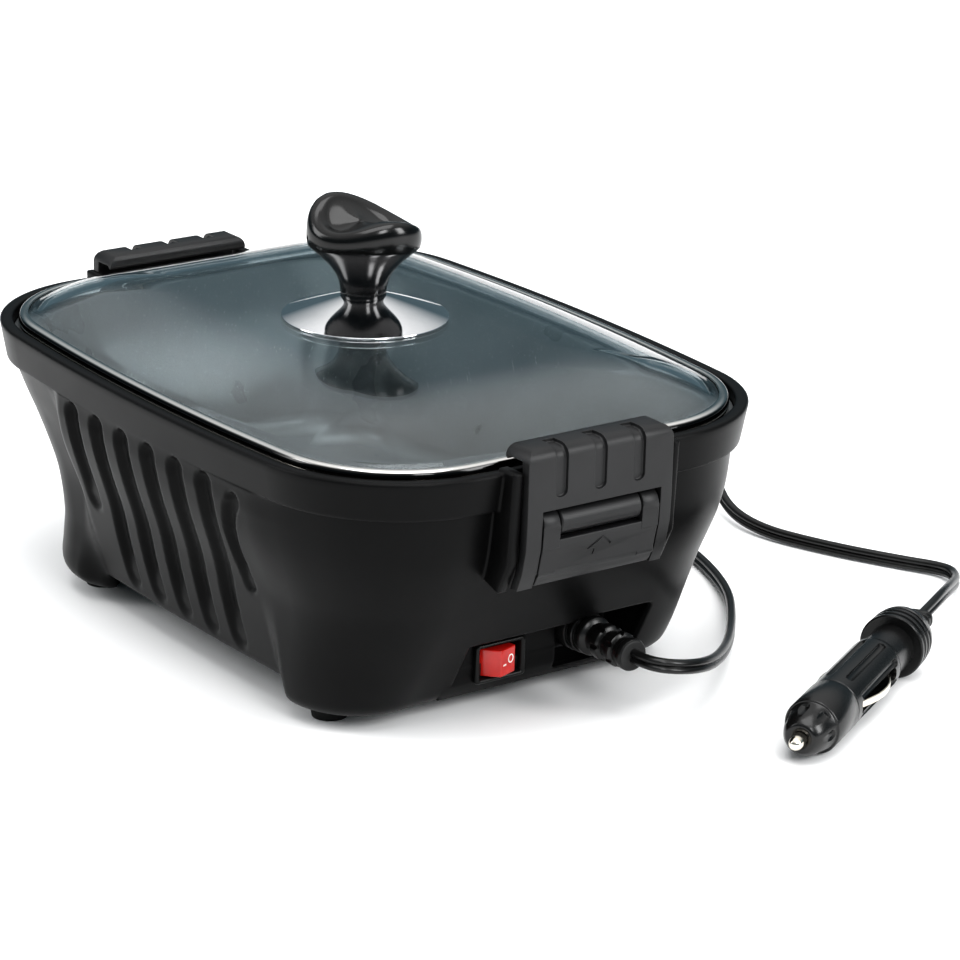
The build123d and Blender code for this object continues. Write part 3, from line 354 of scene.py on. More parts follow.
class Recipe:
    """A procedural material while its nodes are put together."""

    def __init__(self, name: str) -> None:
        """Starts from an empty material with its shader and Object coordinates."""
        self.material = bpy.data.materials.new(name)
        self.material.use_nodes = True
        self.tree = self.material.node_tree
        self.shader = self.tree.nodes["Principled BSDF"]
        self.coordinates = self.tree.nodes.new("ShaderNodeTexCoord").outputs["Object"]

    def add(self, kind: str, **settings: object) -> bpy.types.Node:
        """Adds a node and sets its properties."""
        node = self.tree.nodes.new(kind)
        for key, value in settings.items():
            setattr(node, key, value)
        return node

    def wire(self, source: Socket, target: Socket) -> None:
        """Links two sockets."""
        self.tree.links.new(source, target)

    def stretched(self, scale: Point) -> Socket:
        """Object coordinates through a Mapping node with a scale per axis."""
        mapping = self.add("ShaderNodeMapping")
        mapping.inputs["Scale"].default_value = scale
        self.wire(self.coordinates, mapping.inputs["Vector"])
        return mapping.outputs["Vector"]

    def noise(self, size: float, detail: float = 3.0, source: Socket | None = None) -> Socket:
        """Noise whose blotches are about size millimetres wide."""
        node = self.add("ShaderNodeTexNoise")
        node.inputs["Scale"].default_value = 1.0 / (size * MM)
        node.inputs["Detail"].default_value = detail
        self.wire(source or self.coordinates, node.inputs["Vector"])
        return node.outputs["Fac"]

    def bands(self, source: Socket, stops: Sequence[tuple[float, Sequence[float]]]) -> Socket:
        """Colour ramp through stops, each a place and a colour."""
        node = self.add("ShaderNodeValToRGB")
        elements = node.color_ramp.elements
        while len(elements) < len(stops):
            elements.new(1.0)
        for element, (place, colour) in zip(elements, stops):
            element.position = place
            element.color = (*colour, 1)
        self.wire(source, node.inputs["Fac"])
        return node.outputs["Color"]

    def ramp(self, source: Socket, low: Sequence[float], high: Sequence[float]) -> Socket:
        """Colour between low and high over the middle of a source."""
        return self.bands(source, ((0.35, low), (0.65, high)))

    def span(self, source: Socket, low: float, high: float, start: float = 0.3, end: float = 0.7) -> Socket:
        """Number from low to high while a source goes from start to end."""
        node = self.add("ShaderNodeMapRange")
        for key, value in (("From Min", start), ("From Max", end), ("To Min", low), ("To Max", high)):
            node.inputs[key].default_value = value
        self.wire(source, node.inputs["Value"])
        return node.outputs["Result"]

    def relief(self, height: Socket, depth: float, edge: float = 0.0) -> None:
        """Bump from a height, over edges rounded by a radius; both in millimetres."""
        bump = self.add("ShaderNodeBump")
        bump.inputs["Strength"].default_value = 1.0
        bump.inputs["Distance"].default_value = depth * MM
        self.wire(height, bump.inputs["Height"])
        if edge:
            rounded = self.add("ShaderNodeBevel", samples=6)
            rounded.inputs["Radius"].default_value = edge * MM
            self.wire(rounded.outputs["Normal"], bump.inputs["Normal"])
        self.wire(bump.outputs["Normal"], self.shader.inputs["Normal"])

    def surface(
        self, source: Socket, colour: Sequence[float], tones: Pair, spread: Pair, gloss: Socket | None = None
    ) -> None:
        """Base colour and roughness, each varied over a noise.

        Args:
            source: noise that varies the colour.
            colour: middle colour.
            tones: factors of its darkest and its lightest tone.
            spread: least and greatest roughness.
            gloss: noise that varies the roughness; otherwise the same one.
        """
        tone = self.ramp(source, *(shade(colour, factor) for factor in tones))
        self.wire(tone, self.shader.inputs["Base Color"])
        self.wire(self.span(gloss or source, *spread), self.shader.inputs["Roughness"])

    def set(self, **values: object) -> None:
        """Sets shader sockets by name, with underscores for spaces."""
        for key, value in values.items():
            self.shader.inputs[key.replace("_", " ")].default_value = value


def shade(colour: Sequence[float], factor: float) -> tuple[float, float, float]:
    """A colour made lighter or darker by a factor."""
    return tuple(min(1.0, part * factor) for part in colour)


@dataclass(frozen=True)
class Plastic:
    """Moulded plastic or rubber: a fine grain, soft blotches in gloss, and rounded edges."""

    name: str
    colour: Sequence[float]
    roughness: float = 0.4
    grain: float = 0.35
    depth: float = 0.012
    edge: float = 0.5
    coat: float = 0.0
    contrast: float = 0.18
    specular: float = 0.2
    blotch: float = 28.0

    def build(self) -> Material:
        """Returns the finished material."""
        recipe = Recipe(self.name)
        broad = recipe.noise(self.blotch, 3.0)
        fine = recipe.noise(self.grain, 2.0)
        tones = (1 - self.contrast, 1 + self.contrast)
        recipe.surface(broad, self.colour, tones, (self.roughness * 0.88, self.roughness * 1.12))
        recipe.relief(fine, self.depth, self.edge)
        recipe.set(IOR=1.5, Specular_IOR_Level=self.specular, Coat_Weight=self.coat, Coat_Roughness=0.08)
        return recipe.material


@dataclass(frozen=True)
class Metal:
    """Bare or plated metal with fine brushing along one axis."""

    name: str
    colour: Sequence[float]
    roughness: float = 0.12
    brush: Point = (1.0, 1.0, 1.0)
    grain: float = 0.6
    depth: float = 0.002
    edge: float = 0.2
    blotch: float = 18.0

    def build(self) -> Material:
        """Returns the finished material."""
        recipe = Recipe(self.name)
        broad = recipe.noise(self.blotch, 4.0)
        fine = recipe.noise(self.grain, 4.0, recipe.stretched(self.brush))
        recipe.surface(broad, self.colour, (0.93, 1.05), (self.roughness * 0.75, self.roughness * 1.3), fine)
        recipe.relief(fine, self.depth, self.edge)
        recipe.set(Metallic=1.0)
        return recipe.material


@dataclass(frozen=True)
class PaintedReflectionSteel:
    """Rolled rim steel whose colour by height is painted reflection: a bright crown, a dark band that stands for the
    black collar's reflection, and a warm grey lower band.
    """

    name: str = "rim steel"
    low: float = 101.0
    high: float = 107.5
    roughness: float = 0.10
    # colour stops by height, all painted reflection: warm grey lower band, dark band for the black collar's
    # reflection, bright crown
    stops: tuple[tuple[float, Point], ...] = (
        (0.0, (0.16, 0.145, 0.125)), (0.60, (0.34, 0.32, 0.29)), (0.66, (0.02, 0.02, 0.02)),
        (0.87, (0.03, 0.03, 0.03)), (0.93, (0.66, 0.65, 0.63)),
    )

    def build(self) -> Material:
        """Returns the finished material."""
        recipe = Recipe(self.name)
        fine = recipe.noise(1.2, 4.0, recipe.stretched((1, 1, 8)))
        split = recipe.add("ShaderNodeSeparateXYZ")
        recipe.wire(recipe.coordinates, split.inputs["Vector"])
        height = recipe.span(split.outputs["Z"], 0.0, 1.0, self.low * MM, self.high * MM)
        # the painted reflection bands go into the base colour by height
        recipe.wire(recipe.bands(height, self.stops), recipe.shader.inputs["Base Color"])
        recipe.wire(recipe.span(fine, self.roughness * 0.75, self.roughness * 1.3), recipe.shader.inputs["Roughness"])
        recipe.relief(fine, 0.002, 0.2)
        recipe.set(Metallic=1.0)
        return recipe.material


@dataclass(frozen=True)
class ClearGlass:
    """Tempered glass with a faint cool tint and a slight waviness."""

    name: str = "lid glass"
    colour: Sequence[float] = (0.86, 0.93, 0.95)
    roughness: float = 0.015
    specular: float = 0.22

    def build(self) -> Material:
        """Returns the finished material."""
        recipe = Recipe(self.name)
        wave = recipe.noise(60.0, 1.0)
        recipe.surface(wave, self.colour, (0.98, 1.02), (self.roughness * 0.6, self.roughness * 1.4))
        recipe.relief(wave, 0.01)
        recipe.set(Transmission_Weight=1.0, IOR=1.47, Specular_IOR_Level=self.specular)
        return recipe.material


@dataclass(frozen=True)
class NonStick:
    """Dark non-stick coating with tiny light flecks."""

    name: str = "pan coating"
    colour: Sequence[float] = (0.085, 0.092, 0.095)
    fleck_colour: Sequence[float] = (0.22, 0.23, 0.235)
    fleck_scale: float = 520.0
    fleck_edge: Pair = (0.10, 0.16)

    def build(self) -> Material:
        """Returns the finished material."""
        recipe = Recipe(self.name)
        flecks = recipe.add("ShaderNodeTexVoronoi", feature="F1")
        flecks.inputs["Scale"].default_value = self.fleck_scale
        recipe.wire(recipe.coordinates, flecks.inputs["Vector"])
        mask = recipe.span(flecks.outputs["Distance"], 1.0, 0.0, *self.fleck_edge)
        mix = recipe.add("ShaderNodeMix", data_type="RGBA")
        recipe.wire(mask, mix.inputs["Factor"])
        broad = recipe.noise(35.0)
        recipe.wire(recipe.ramp(broad, shade(self.colour, 0.85), shade(self.colour, 1.2)), mix.inputs["A"])
        mix.inputs["B"].default_value = (*self.fleck_colour, 1)
        recipe.wire(mix.outputs["Result"], recipe.shader.inputs["Base Color"])
        recipe.wire(recipe.span(broad, 0.26, 0.36), recipe.shader.inputs["Roughness"])
        recipe.relief(recipe.noise(0.5), 0.006, 0.6)
        recipe.set(IOR=1.5)
        return recipe.material


@dataclass(frozen=True)
class RockerRed:
    """Translucent red plastic with a faint painted glow: red emission, with no lamp behind it."""

    name: str = "rocker red"
    colour: Sequence[float] = (0.46, 0.012, 0.008)

    def build(self) -> Material:
        """Returns the finished material."""
        recipe = Recipe(self.name)
        broad = recipe.noise(6.0)
        recipe.surface(broad, self.colour, (0.85, 1.15), (0.16, 0.24))
        recipe.relief(recipe.noise(0.4), 0.004, 0.3)
        recipe.set(IOR=1.5, Transmission_Weight=0.15, Coat_Weight=0.15, Coat_Roughness=0.1)
        # painted glow: red emission, with no lamp in the switch
        recipe.shader.inputs["Emission Color"].default_value = (0.8, 0.01, 0.005, 1)
        recipe.shader.inputs["Emission Strength"].default_value = 0.05
        return recipe.material


@dataclass(frozen=True)
class Mica:
    """Pale layered mica sheet."""

    name: str = "mica"
    colour: Sequence[float] = (0.55, 0.5, 0.38)

    def build(self) -> Material:
        """Returns the finished material."""
        recipe = Recipe(self.name)
        flakes = recipe.noise(3.0, 6.0)
        recipe.surface(flakes, self.colour, (0.6, 1.25), (0.3, 0.55))
        recipe.relief(flakes, 0.02)
        return recipe.material


def dress(piece: Piece, material: Material) -> None:
    """Gives a piece one material."""
    piece.data.materials.clear()
    piece.data.materials.append(material)


def placed(name: str, data: bpy.types.ID) -> Piece:
    """Puts an object with the given data into the scene."""
    thing = bpy.data.objects.new(name, data)
    bpy.context.collection.objects.link(thing)
    return thing


class Finishes:
    """Every finish of the roaster, each built once."""

    def __init__(self) -> None:
        """Builds the materials."""
        dark = (0.0030, 0.0030, 0.0031)
        self.housing = Plastic("housing black", dark, 0.34, 0.30, 0.007, 1.6, specular=0.10).build()
        self.latch = Plastic("latch black", (0.012, 0.012, 0.0125), 0.42, 0.32, 0.012, 0.35, specular=0.3).build()
        self.gloss = Plastic("gloss black", (0.0025, 0.0025, 0.0025), 0.17, 1.2, 0.001, 0.3, specular=0.4).build()
        self.bezel = Plastic("bezel black", (0.005, 0.005, 0.005), 0.30, 0.5, 0.004, 0.3).build()
        self.rubber = Plastic("foot rubber", (0.012, 0.012, 0.012), 0.62, 0.4, 0.02, 0.5).build()
        dark = (0.005, 0.005, 0.005)
        self.connector = Plastic("connector black", dark, 0.30, 0.4, 0.006, 0.25, specular=0.35).build()
        self.grommet = Plastic("grommet grey", (0.022, 0.022, 0.022), 0.5, 0.4, 0.01, 0.3).build()
        self.cord = Plastic("cord black", (0.006, 0.006, 0.006), 0.30, 0.8, 0.005, 0.0, specular=0.35).build()
        self.plug = Plastic("plug black", dark, 0.24, 0.5, 0.004, 0.25, specular=0.4).build()
        self.marks = Plastic("rocker marks", (0.85, 0.83, 0.80), 0.35, 0.4, 0.003, 0.0).build()
        self.wire = Plastic("wire sleeve", (0.35, 0.02, 0.015), 0.45, 0.5, 0.005, 0.0).build()
        self.ceramic = Plastic("thermostat case", (0.10, 0.07, 0.05), 0.3, 0.6, 0.006, 0.3).build()
        self.tie = Plastic("tie black", (0.016, 0.016, 0.016), 0.5, 0.5, 0.01, 0.2).build()
        self.polished = Metal("polished steel", (0.80, 0.80, 0.81), 0.06, (1, 1, 1), 2.0, 0.0006).build()
        # rim steel with reflections painted into its colour by height
        self.rim = PaintedReflectionSteel().build()
        self.steel = Metal("plain steel", (0.55, 0.55, 0.56), 0.32, (1, 12, 1), 0.8, 0.006).build()
        self.nickel = Metal("nickel", (0.74, 0.69, 0.60), 0.16, (1, 1, 6), 0.8, 0.002).build()
        self.brass = Metal("brass", (0.78, 0.56, 0.26), 0.25, (1, 1, 6), 0.8, 0.004).build()
        self.glass = ClearGlass().build()
        self.fuse_glass = ClearGlass("fuse glass", (0.9, 0.93, 0.93), 0.03).build()
        self.pan = NonStick().build()
        self.red = RockerRed().build()
        self.mica = Mica().build()

    def dress_frame(self) -> None:
        """Gives every carried-over CAD node its finish."""
        groups: list[tuple[Material, list[str]]] = [
            (self.housing, ["housing", "base_plate"]),
            (self.latch, ["front_lever", "rear_lever", "front_hook", "rear_hook"]),
            (self.rubber, ["foot_front_left", "foot_front_right", "foot_rear_left", "foot_rear_right"]),
            (self.rubber, ["knob_washer"]),
            (self.connector, ["connector", "plug_relief"]),
            (self.cord, ["cord_run_near", "cord_coil", "cord_run_far"]),
            (self.tie, ["coil_tie"]),
            (self.plug, ["plug_barrel", "plug_cap", "plug_flange"]),
            (self.nickel, ["plug_tip", "plug_spring", "plug_contact_left", "plug_contact_right"]),
            (self.fuse_glass, ["plug_fuse", "thermal_fuse"]),
            (self.gloss, ["knob"]),
            (self.bezel, ["switch_body", "inlet_socket"]),
            (self.red, ["rocker"]),
            (self.glass, ["lid_glass"]),
            (self.rim, ["lid_rim"]),
            (self.polished, ["knob_plate"]),
            (self.pan, ["pan"]),
            (self.mica, ["mica_top", "mica_bottom"]),
            (self.ceramic, ["thermostat"]),
            (self.wire, ["lead_wires"]),
            (self.brass, ["knob_insert", "switch_terminals", "inlet_pins", "ribbon_terminals"]),
            (self.steel, ["base_screws", "pan_studs", "clamp_plate", "clamp_nuts", "shield_spacers"]),
            (self.steel, ["shield_nuts", "heat_shield", "heating_ribbon", "fuse_clip", "knob_screw"]),
            (self.steel, ["front_lever_pin", "rear_lever_pin", "front_hook_pin", "rear_hook_pin"]),
        ]
        dressed = set()
        for material, nodes in groups:
            for node in nodes:
                dress(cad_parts[node], material)
                dressed.add(node)
        missing = set(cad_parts) - dressed
        if missing:
            LOG.warning("nodes without a finish: %s", sorted(missing))


@dataclass
class Studio:
    """Camera, floor and soft lights."""

    lens: float = 148.01
    place: Point = (1.1618, -0.7905, 0.5417)
    azimuth: float = 53.97
    elevation: float = 19.07
    roll: float = 1.43
    floor_size: float = 14.0
    horizon: Pair = (0.28, 0.85)
    sky_low: Point = (0.09, 0.13, 0.15)
    sky_high: Point = (1.15, 1.15, 1.15)
    target: Point = (0.0, 0.0, 0.08)
    lights: tuple[tuple[str, Point, Pair, float], ...] = (
        ("overhead light", (0.5, -0.2, 2.2), (1.8, 1.8), 34.0),
        ("left light", (-0.9, -1.5, 1.0), (0.7, 1.1), 12.0),
        ("right light", (1.7, 1.0, 0.9), (0.6, 1.1), 22.0),
        ("front light", (2.1, -0.4, 1.5), (0.6, 0.8), 16.0),
    )

    def camera(self) -> Piece:
        """Adds the camera at the photograph's angle and returns it."""
        az, el, roll = (math.radians(v) for v in (self.azimuth, self.elevation, self.roll))
        back = Vector((math.sin(az) * math.cos(el), -math.cos(az) * math.cos(el), math.sin(el)))
        right = Vector((math.cos(az), math.sin(az), 0))
        up = back.cross(right)
        level = Matrix((right, up, back))
        turn = Matrix(((math.cos(roll), math.sin(roll), 0), (-math.sin(roll), math.cos(roll), 0), (0, 0, 1)))
        data = bpy.data.cameras.new("photo camera")
        data.lens = self.lens
        data.sensor_width = 36.0
        data.clip_end = 50.0
        camera = placed("photo camera", data)
        camera.matrix_world = Matrix.Translation(self.place) @ (turn @ level).transposed().to_4x4()
        bpy.context.scene.camera = camera
        return camera

    def softbox(self, name: str, place: Point, size: Pair, power: float) -> Piece:
        """Adds a rectangular area light that looks at the target and returns it."""
        data = bpy.data.lights.new(name, "AREA")
        data.shape = "RECTANGLE"
        data.size, data.size_y = size
        data.energy = power
        light = placed(name, data)
        light.location = place
        light.rotation_euler = (Vector(self.target) - Vector(place)).to_track_quat("-Z", "Y").to_euler()
        return light

    def build(self) -> None:
        """Adds floor, surroundings and lights."""
        bpy.ops.object.select_all(action="DESELECT")
        bpy.ops.mesh.primitive_plane_add(size=self.floor_size, location=(0, 0, 0))
        floor = bpy.context.active_object
        floor.name = "floor"
        recipe = Recipe("floor white")
        recipe.surface(recipe.noise(400.0), (1.0, 1.0, 1.0), (0.93, 0.96), (0.7, 0.8))
        floor.data.materials.append(recipe.material)
        world = bpy.data.worlds.new("studio")
        bpy.context.scene.world = world
        world.use_nodes = True
        nodes, links = world.node_tree.nodes, world.node_tree.links
        direction = nodes.new("ShaderNodeTexCoord")
        split = nodes.new("ShaderNodeSeparateXYZ")
        sky = nodes.new("ShaderNodeValToRGB")
        for element, place, colour in zip(sky.color_ramp.elements, self.horizon, (self.sky_low, self.sky_high)):
            element.position = place
            element.color = (*colour, 1)
        links.new(direction.outputs["Generated"], split.inputs["Vector"])
        links.new(split.outputs["Z"], sky.inputs["Fac"])
        background = nodes["Background"]
        links.new(sky.outputs["Color"], background.inputs["Color"])
        background.inputs["Strength"].default_value = 1.0
        for light in self.lights:
            self.softbox(*light)
        bpy.context.scene.view_settings.view_transform = "Standard"
        bpy.context.scene.view_settings.look = "Medium High Contrast"
        LOG.info("studio ready")


@dataclass
class CordSet:
    """Flat twin lead: near run, put-away coil, far run; sizes in millimetres."""

    width: float = 5.5
    thickness: float = 3.6
    length: float = 1.4555
    coil_centre: Pair = (-92.0, 186.0)
    coil_radius: float = 30.5
    coil_turns: float = 4.5
    coil_pitch: float = 6.1
    coil_low: float = 4.2
    points_a_turn: int = 16
    plug_tip: Point = (204.8, 42.6, 10.0)
    plug_direction: Point = (-0.4846, 0.8744, 0.0257)
    relief_back: float = 132.0
    far_straight: float = 147.0
    lead_in: float = 40.0
    lead_out: float = 24.0
    section_steps: int = 40
    groove_depth: float = 0.55
    groove_width: float = 0.11
    lobe_power: float = 3.2
    path: Sequence[Vector] = ()

    def along_plug(self, distance: float) -> Point:
        """Point on the plug's axis, measured back from its tip."""
        return tuple(Vector(self.plug_tip) + Vector(self.plug_direction) * distance)

    def route(self) -> list[Point]:
        """Control points of the whole lead, from the connector to the plug's strain relief."""
        x, y = self.coil_centre
        climb = self.coil_pitch / (2 * math.pi * self.coil_radius)
        near = [
            (137.0, 24.5, 24.6),
            (144.5, 24.5, 24.6),
            (150.0, 30.5, 23.6),
            (150.0, 43.0, 21.0),
            (140.0, 60.0, 16.2),
            (119.0, 83.0, 10.5),
            (92.0, 107.0, 6.0),
            (62.0, 130.0, 3.6),
            (27.0, 144.5, 3.2),
            (-12.0, 152.0, 3.2),
            (x + self.lead_in, y - self.coil_radius, self.coil_low - self.lead_in * climb),
        ]
        coil = []
        steps = round(self.coil_turns * self.points_a_turn)
        for step in range(steps + 1):
            turn = step / self.points_a_turn
            angle = -math.pi / 2 - turn * 2 * math.pi
            place = (self.coil_radius * math.cos(angle), self.coil_radius * math.sin(angle))
            coil.append((x + place[0], y + place[1], self.coil_low + turn * self.coil_pitch))
        high = self.coil_low + self.coil_turns * self.coil_pitch
        far = [
            (x + self.lead_out, y + self.coil_radius, high + self.lead_out * climb),
            (-44.0, 206.0, 20.0),
            (-18.0, 189.0, 7.0),
            (10.0, 185.0, 3.4),
            (42.0, 196.0, 3.2),
            (70.0, 210.0, 3.2),
            (88.0, 220.5, 3.4),
            (101.5, 212.5, 5.2),
            (114.0, 198.0, 9.2),
            (124.5, 184.3, 12.4),
            self.along_plug(self.far_straight),
            self.along_plug(self.relief_back),
        ]
        return near + coil + far

    def section(self) -> Piece:
        """Closed profile of two round conductors side by side, with a groove between."""
        steps = self.section_steps
        data = bpy.data.curves.new("lead section", "CURVE")
        data.dimensions = "2D"
        spline = data.splines.new("POLY")
        spline.points.add(steps - 1)
        for step, point in enumerate(spline.points):
            angle = 2 * math.pi * step / steps
            across = math.cos(angle) * self.width / 2
            pinch = 1 - self.groove_depth * math.exp(-((across / (self.width * self.groove_width)) ** 2))
            lobe = math.sqrt(max(0.0, 1 - (abs(across) / (self.width / 2)) ** self.lobe_power))
            up = math.copysign(lobe * pinch * self.thickness / 2, math.sin(angle))
            point.co = (up * MM, across * MM, 0, 1)
        spline.use_cyclic_u = True
        return placed("lead section", data)

    def build(self, finishes: Finishes) -> Piece:
        """Returns the cord as a mesh swept along its spline."""
        route = self.route()
        data = bpy.data.curves.new("cord", "CURVE")
        data.dimensions = "3D"
        data.resolution_u = 8
        spline = data.splines.new("NURBS")
        spline.points.add(len(route) - 1)
        for point, place in zip(spline.points, route):
            point.co = (*(Vector(place) * MM), 1)
        spline.order_u = 3
        spline.use_endpoint_u = True
        data.twist_mode = "Z_UP"
        section = self.section()
        data.bevel_mode = "OBJECT"
        data.bevel_object = section
        data.use_fill_caps = True
        cord = placed("cord", data)
        centre = data.copy()
        centre.bevel_mode = "ROUND"
        centre.bevel_object = None
        probe = placed("cord centre", centre)
        bpy.context.view_layer.update()
        self.path = [v.co.copy() for v in bpy.data.meshes.new_from_object(probe).vertices]
        graph = bpy.context.evaluated_depsgraph_get()
        mesh = bpy.data.meshes.new_from_object(cord.evaluated_get(graph))
        piece = placed("cord_lead", mesh)
        for spare in (cord, probe, section):
            bpy.data.objects.remove(spare)
        Bench.tidy(piece)
        return finished(piece, finishes.cord, "base", "cord_run_near", "cord_coil", "cord_run_far", angle=50)


def rounded(half_a: float, half_b: float, corner: float, steps: int = 6) -> list[Pair]:
    """Rounded rectangle about the origin, anticlockwise, as pairs in millimetres."""
    points = []
    for quarter, (sign_a, sign_b) in enumerate(((1, 1), (-1, 1), (-1, -1), (1, -1))):
        for step in range(steps + 1):
            angle = math.pi / 2 * (quarter + step / steps)
            a = sign_a * (half_a - corner) + corner * math.cos(angle)
            b = sign_b * (half_b - corner) + corner * math.sin(angle)
            points.append((a, b))
    return points


def finished(piece: Piece, finish: Material, body: str, *nodes: str, angle: float = 35.0) -> Piece:
    """Smooths and dresses a piece, lets it ride on its body and stand for its CAD nodes.

    Args:
        piece: the modelled piece.
        finish: its material.
        body: the CAD body that it moves with.
        nodes: CAD nodes that it replaces.
        angle: edges up to this angle shade smoothly.

    Returns:
        The same piece.
    """
    Bench.smooth(piece, angle)
    dress(piece, finish)
    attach(piece, body)
    if nodes:
        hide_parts(*nodes)
    LOG.info("%s built with %d faces", piece.name, len(piece.data.polygons))
    return piece


def step_up(low: float, high: float, value: float) -> float:
    """Smooth step from 0 at low to 1 at high."""
    part = min(1.0, max(0.0, (value - low) / (high - low)))
    return part * part * (3 - 2 * part)


def curve(knots: Knots, at: float) -> list[float]:
    """Smooth curve through knots, each a place followed by its values.

    Args:
        knots: rising places with their values.
        at: place to read.

    Returns:
        The values there.
    """
    at = min(knots[-1][0], max(knots[0][0], at))
    index = max(i for i in range(len(knots) - 1) if knots[i][0] <= at)
    a, b = knots[index], knots[index + 1]
    before, after = knots[max(0, index - 1)], knots[min(len(knots) - 1, index + 2)]
    width = b[0] - a[0]
    t = (at - a[0]) / width
    values = []
    for p, q, r, s in zip(before[1:], a[1:], b[1:], after[1:]):
        enter = (r - p) / (b[0] - before[0]) * width
        leave = (s - q) / (after[0] - a[0]) * width
        values.append(
            q * (2 * t**3 - 3 * t**2 + 1)
            + enter * (t**3 - 2 * t**2 + t)
            + r * (3 * t**2 - 2 * t**3)
            + leave * (t**3 - t**2)
        )
    return values


@dataclass
class HousingSet:
    """Tub with soft grooves, panels and legs, its collar, control recess and latch seats.

    Sizes are in millimetres. A row of levels is a height with the wall's half length, half width,
    corner and bow there. The other knots are a height with a shift along X or outward. The collar's
    and the guard's rows go round their sections.
    """

    outline: Outline
    levels: Knots = (
        (6.0, 99.0, 75.5, 27.0, 2.5), (24.0, 109.5, 81.0, 33.0, 3.5), (48.0, 122.5, 88.0, 40.0, 5.0),
        (70.0, 131.0, 94.5, 46.0, 6.5), (91.0, 134.5, 98.6, 52.0, 8.0),
    )
    segments: tuple[int, int, int] = (240, 22, 16)
    level_count: int = 72
    level_bias: float = 1.35
    low_parts: tuple[float, ...] = (0.0, 0.003, 0.01, 0.022, 0.038, 0.055)
    inner_parts: tuple[float, ...] = (1.0, 0.85, 0.7, 0.55, 0.4, 0.27, 0.15, 0.0)
    leg: Pair = (6.0, 4.5)
    arch: Pair = (14.0, 1.2)
    collar_low: float = 91.0
    wall: float = 3.6
    groove_wall: float = 2.0
    groove_count: int = 6
    groove_pitch: float = 18.3
    groove_half: float = 4.9
    groove_depth: float = 3.0
    groove_slope: Pair = (0.6, 1.12)
    groove_path: Knots = (
        (22.5, -8.8), (30.0, -8.7), (40.0, -7.9), (50.0, -6.1), (60.0, -3.7), (70.0, -1.9), (80.0, -1.9), (85.6, -2.5),
    )
    first_groove: float = -42.0
    short_low: float = 50.0
    fade_height: float = 10.0
    fade_share: float = 0.5
    crescent: Knots = ((50.0, 59.5), (58.0, 59.3), (66.0, 59.6), (74.0, 60.6), (80.0, 62.4), (84.0, 64.6))
    crescent_share: float = 0.75
    panel_base: float = 0.7
    panel_swell: float = 2.9
    swell_heights: Pair = (46.0, 78.0)
    panel_tuck: float = 0.95
    tuck_heights: Pair = (82.0, 91.0)
    panel_rear: Pair = (-66.0, -54.0)
    panel_front: Pair = (72.0, 104.0)
    front_corner: float = 4.6
    front_corner_place: Pair = (63.0, 73.0)
    front_corner_heights: Pair = (8.0, 52.0)
    rear_corner: Knots = (
        (6.0, 6.0), (12.0, 6.4), (20.0, 2.8), (30.0, -1.7), (45.0, -5.4), (58.0, -6.0), (70.0, -5.0), (80.0, -2.6),
        (90.0, 0.0),
    )
    rear_corner_place: Pair = (-72.0, -56.0)
    side_place: Pair = (40.0, 70.0)
    arch_rear: Pair = (-63.0, -55.0)
    arch_front: Pair = (64.0, 70.0)
    arch_side: Pair = (30.0, 45.0)
    collar: Knots = (
        (91.0, 2.55), (91.4, 2.43), (92.0, 2.33), (92.5, 2.24), (93.0, 2.15), (94.0, 1.98), (95.0, 1.8), (96.0, 1.63),
        (97.2, 1.42), (99.0, 1.1), (102.0, 0.6), (104.2, 0.2), (104.8, 0.3), (105.2, 0.65), (105.4, 1.3), (105.4, 4.2),
        (105.2, 4.75), (104.7, 5.0), (99.5, 5.0), (99.5, 11.9), (96.5, 11.9), (96.5, 8.6), (91.0, 8.6),
    )
    collar_side: float = 80.0
    collar_groove_top: float = 97.0
    collar_skin: float = 4.0
    recess_floor: float = 10.0
    recess_margin: float = 0.06
    recess_front: float = 140.0
    pockets: tuple[tuple[Pair, float, float, float], ...] = (
        ((-31.0, 15.5), 31.8, 103.5, 0.6), ((14.5, 50.0), 33.3, 86.0, 2.2),
    )
    lining: Knots = ((83.0, 7.2), (99.3, 7.2), (101.0, 10.4), (112.8, 32.0), (113.9, 35.6), (83.0, 35.6))
    lining_span: Pair = (-34.0, 53.0)
    holes: tuple[tuple[Point, Point], ...] = (
        ((80.0, -20.35, 13.45), (110.0, -1.25, 26.15)), ((80.0, 15.95, 18.05), (90.0, 33.05, 31.15)),
    )
    guard: Knots = (
        (126.6, 64.0), (131.0, 78.0), (134.5, 92.0), (135.9, 96.0), (136.0, 106.4), (145.6, 106.4),
        (143.8, 73.0), (137.6, 60.5),
    )
    guard_spans: Knots = ((-37.0, -32.8), (31.6, 34.8))
    guard_edge: float = 0.8
    barrel: Knots = ((-17.3, 4.5), (-16.8, 5.0), (16.8, 5.0), (17.3, 4.5))
    barrel_centre: Point = (142.6, 0.0, 85.5)
    web: tuple[Point, Point] = ((131.0, -17.3, 82.5), (142.6, 17.3, 88.5))
    leg_floors: Knots = ((69.0, 86.0), (-86.0, -64.0))
    leg_floor_side: Pair = (46.0, 66.0)
    leg_floor_heights: Pair = (6.2, 9.0)
    matt_from: float = 133.0
    matt_half: float = 17.6
    matt_heights: Pair = (79.0, 91.0)

    def plan(self, z: float, inset: float) -> list[Pair]:
        """Points of the tub's plain wall at a height."""
        return Outline(*curve(self.levels, z), *self.segments).points(inset)

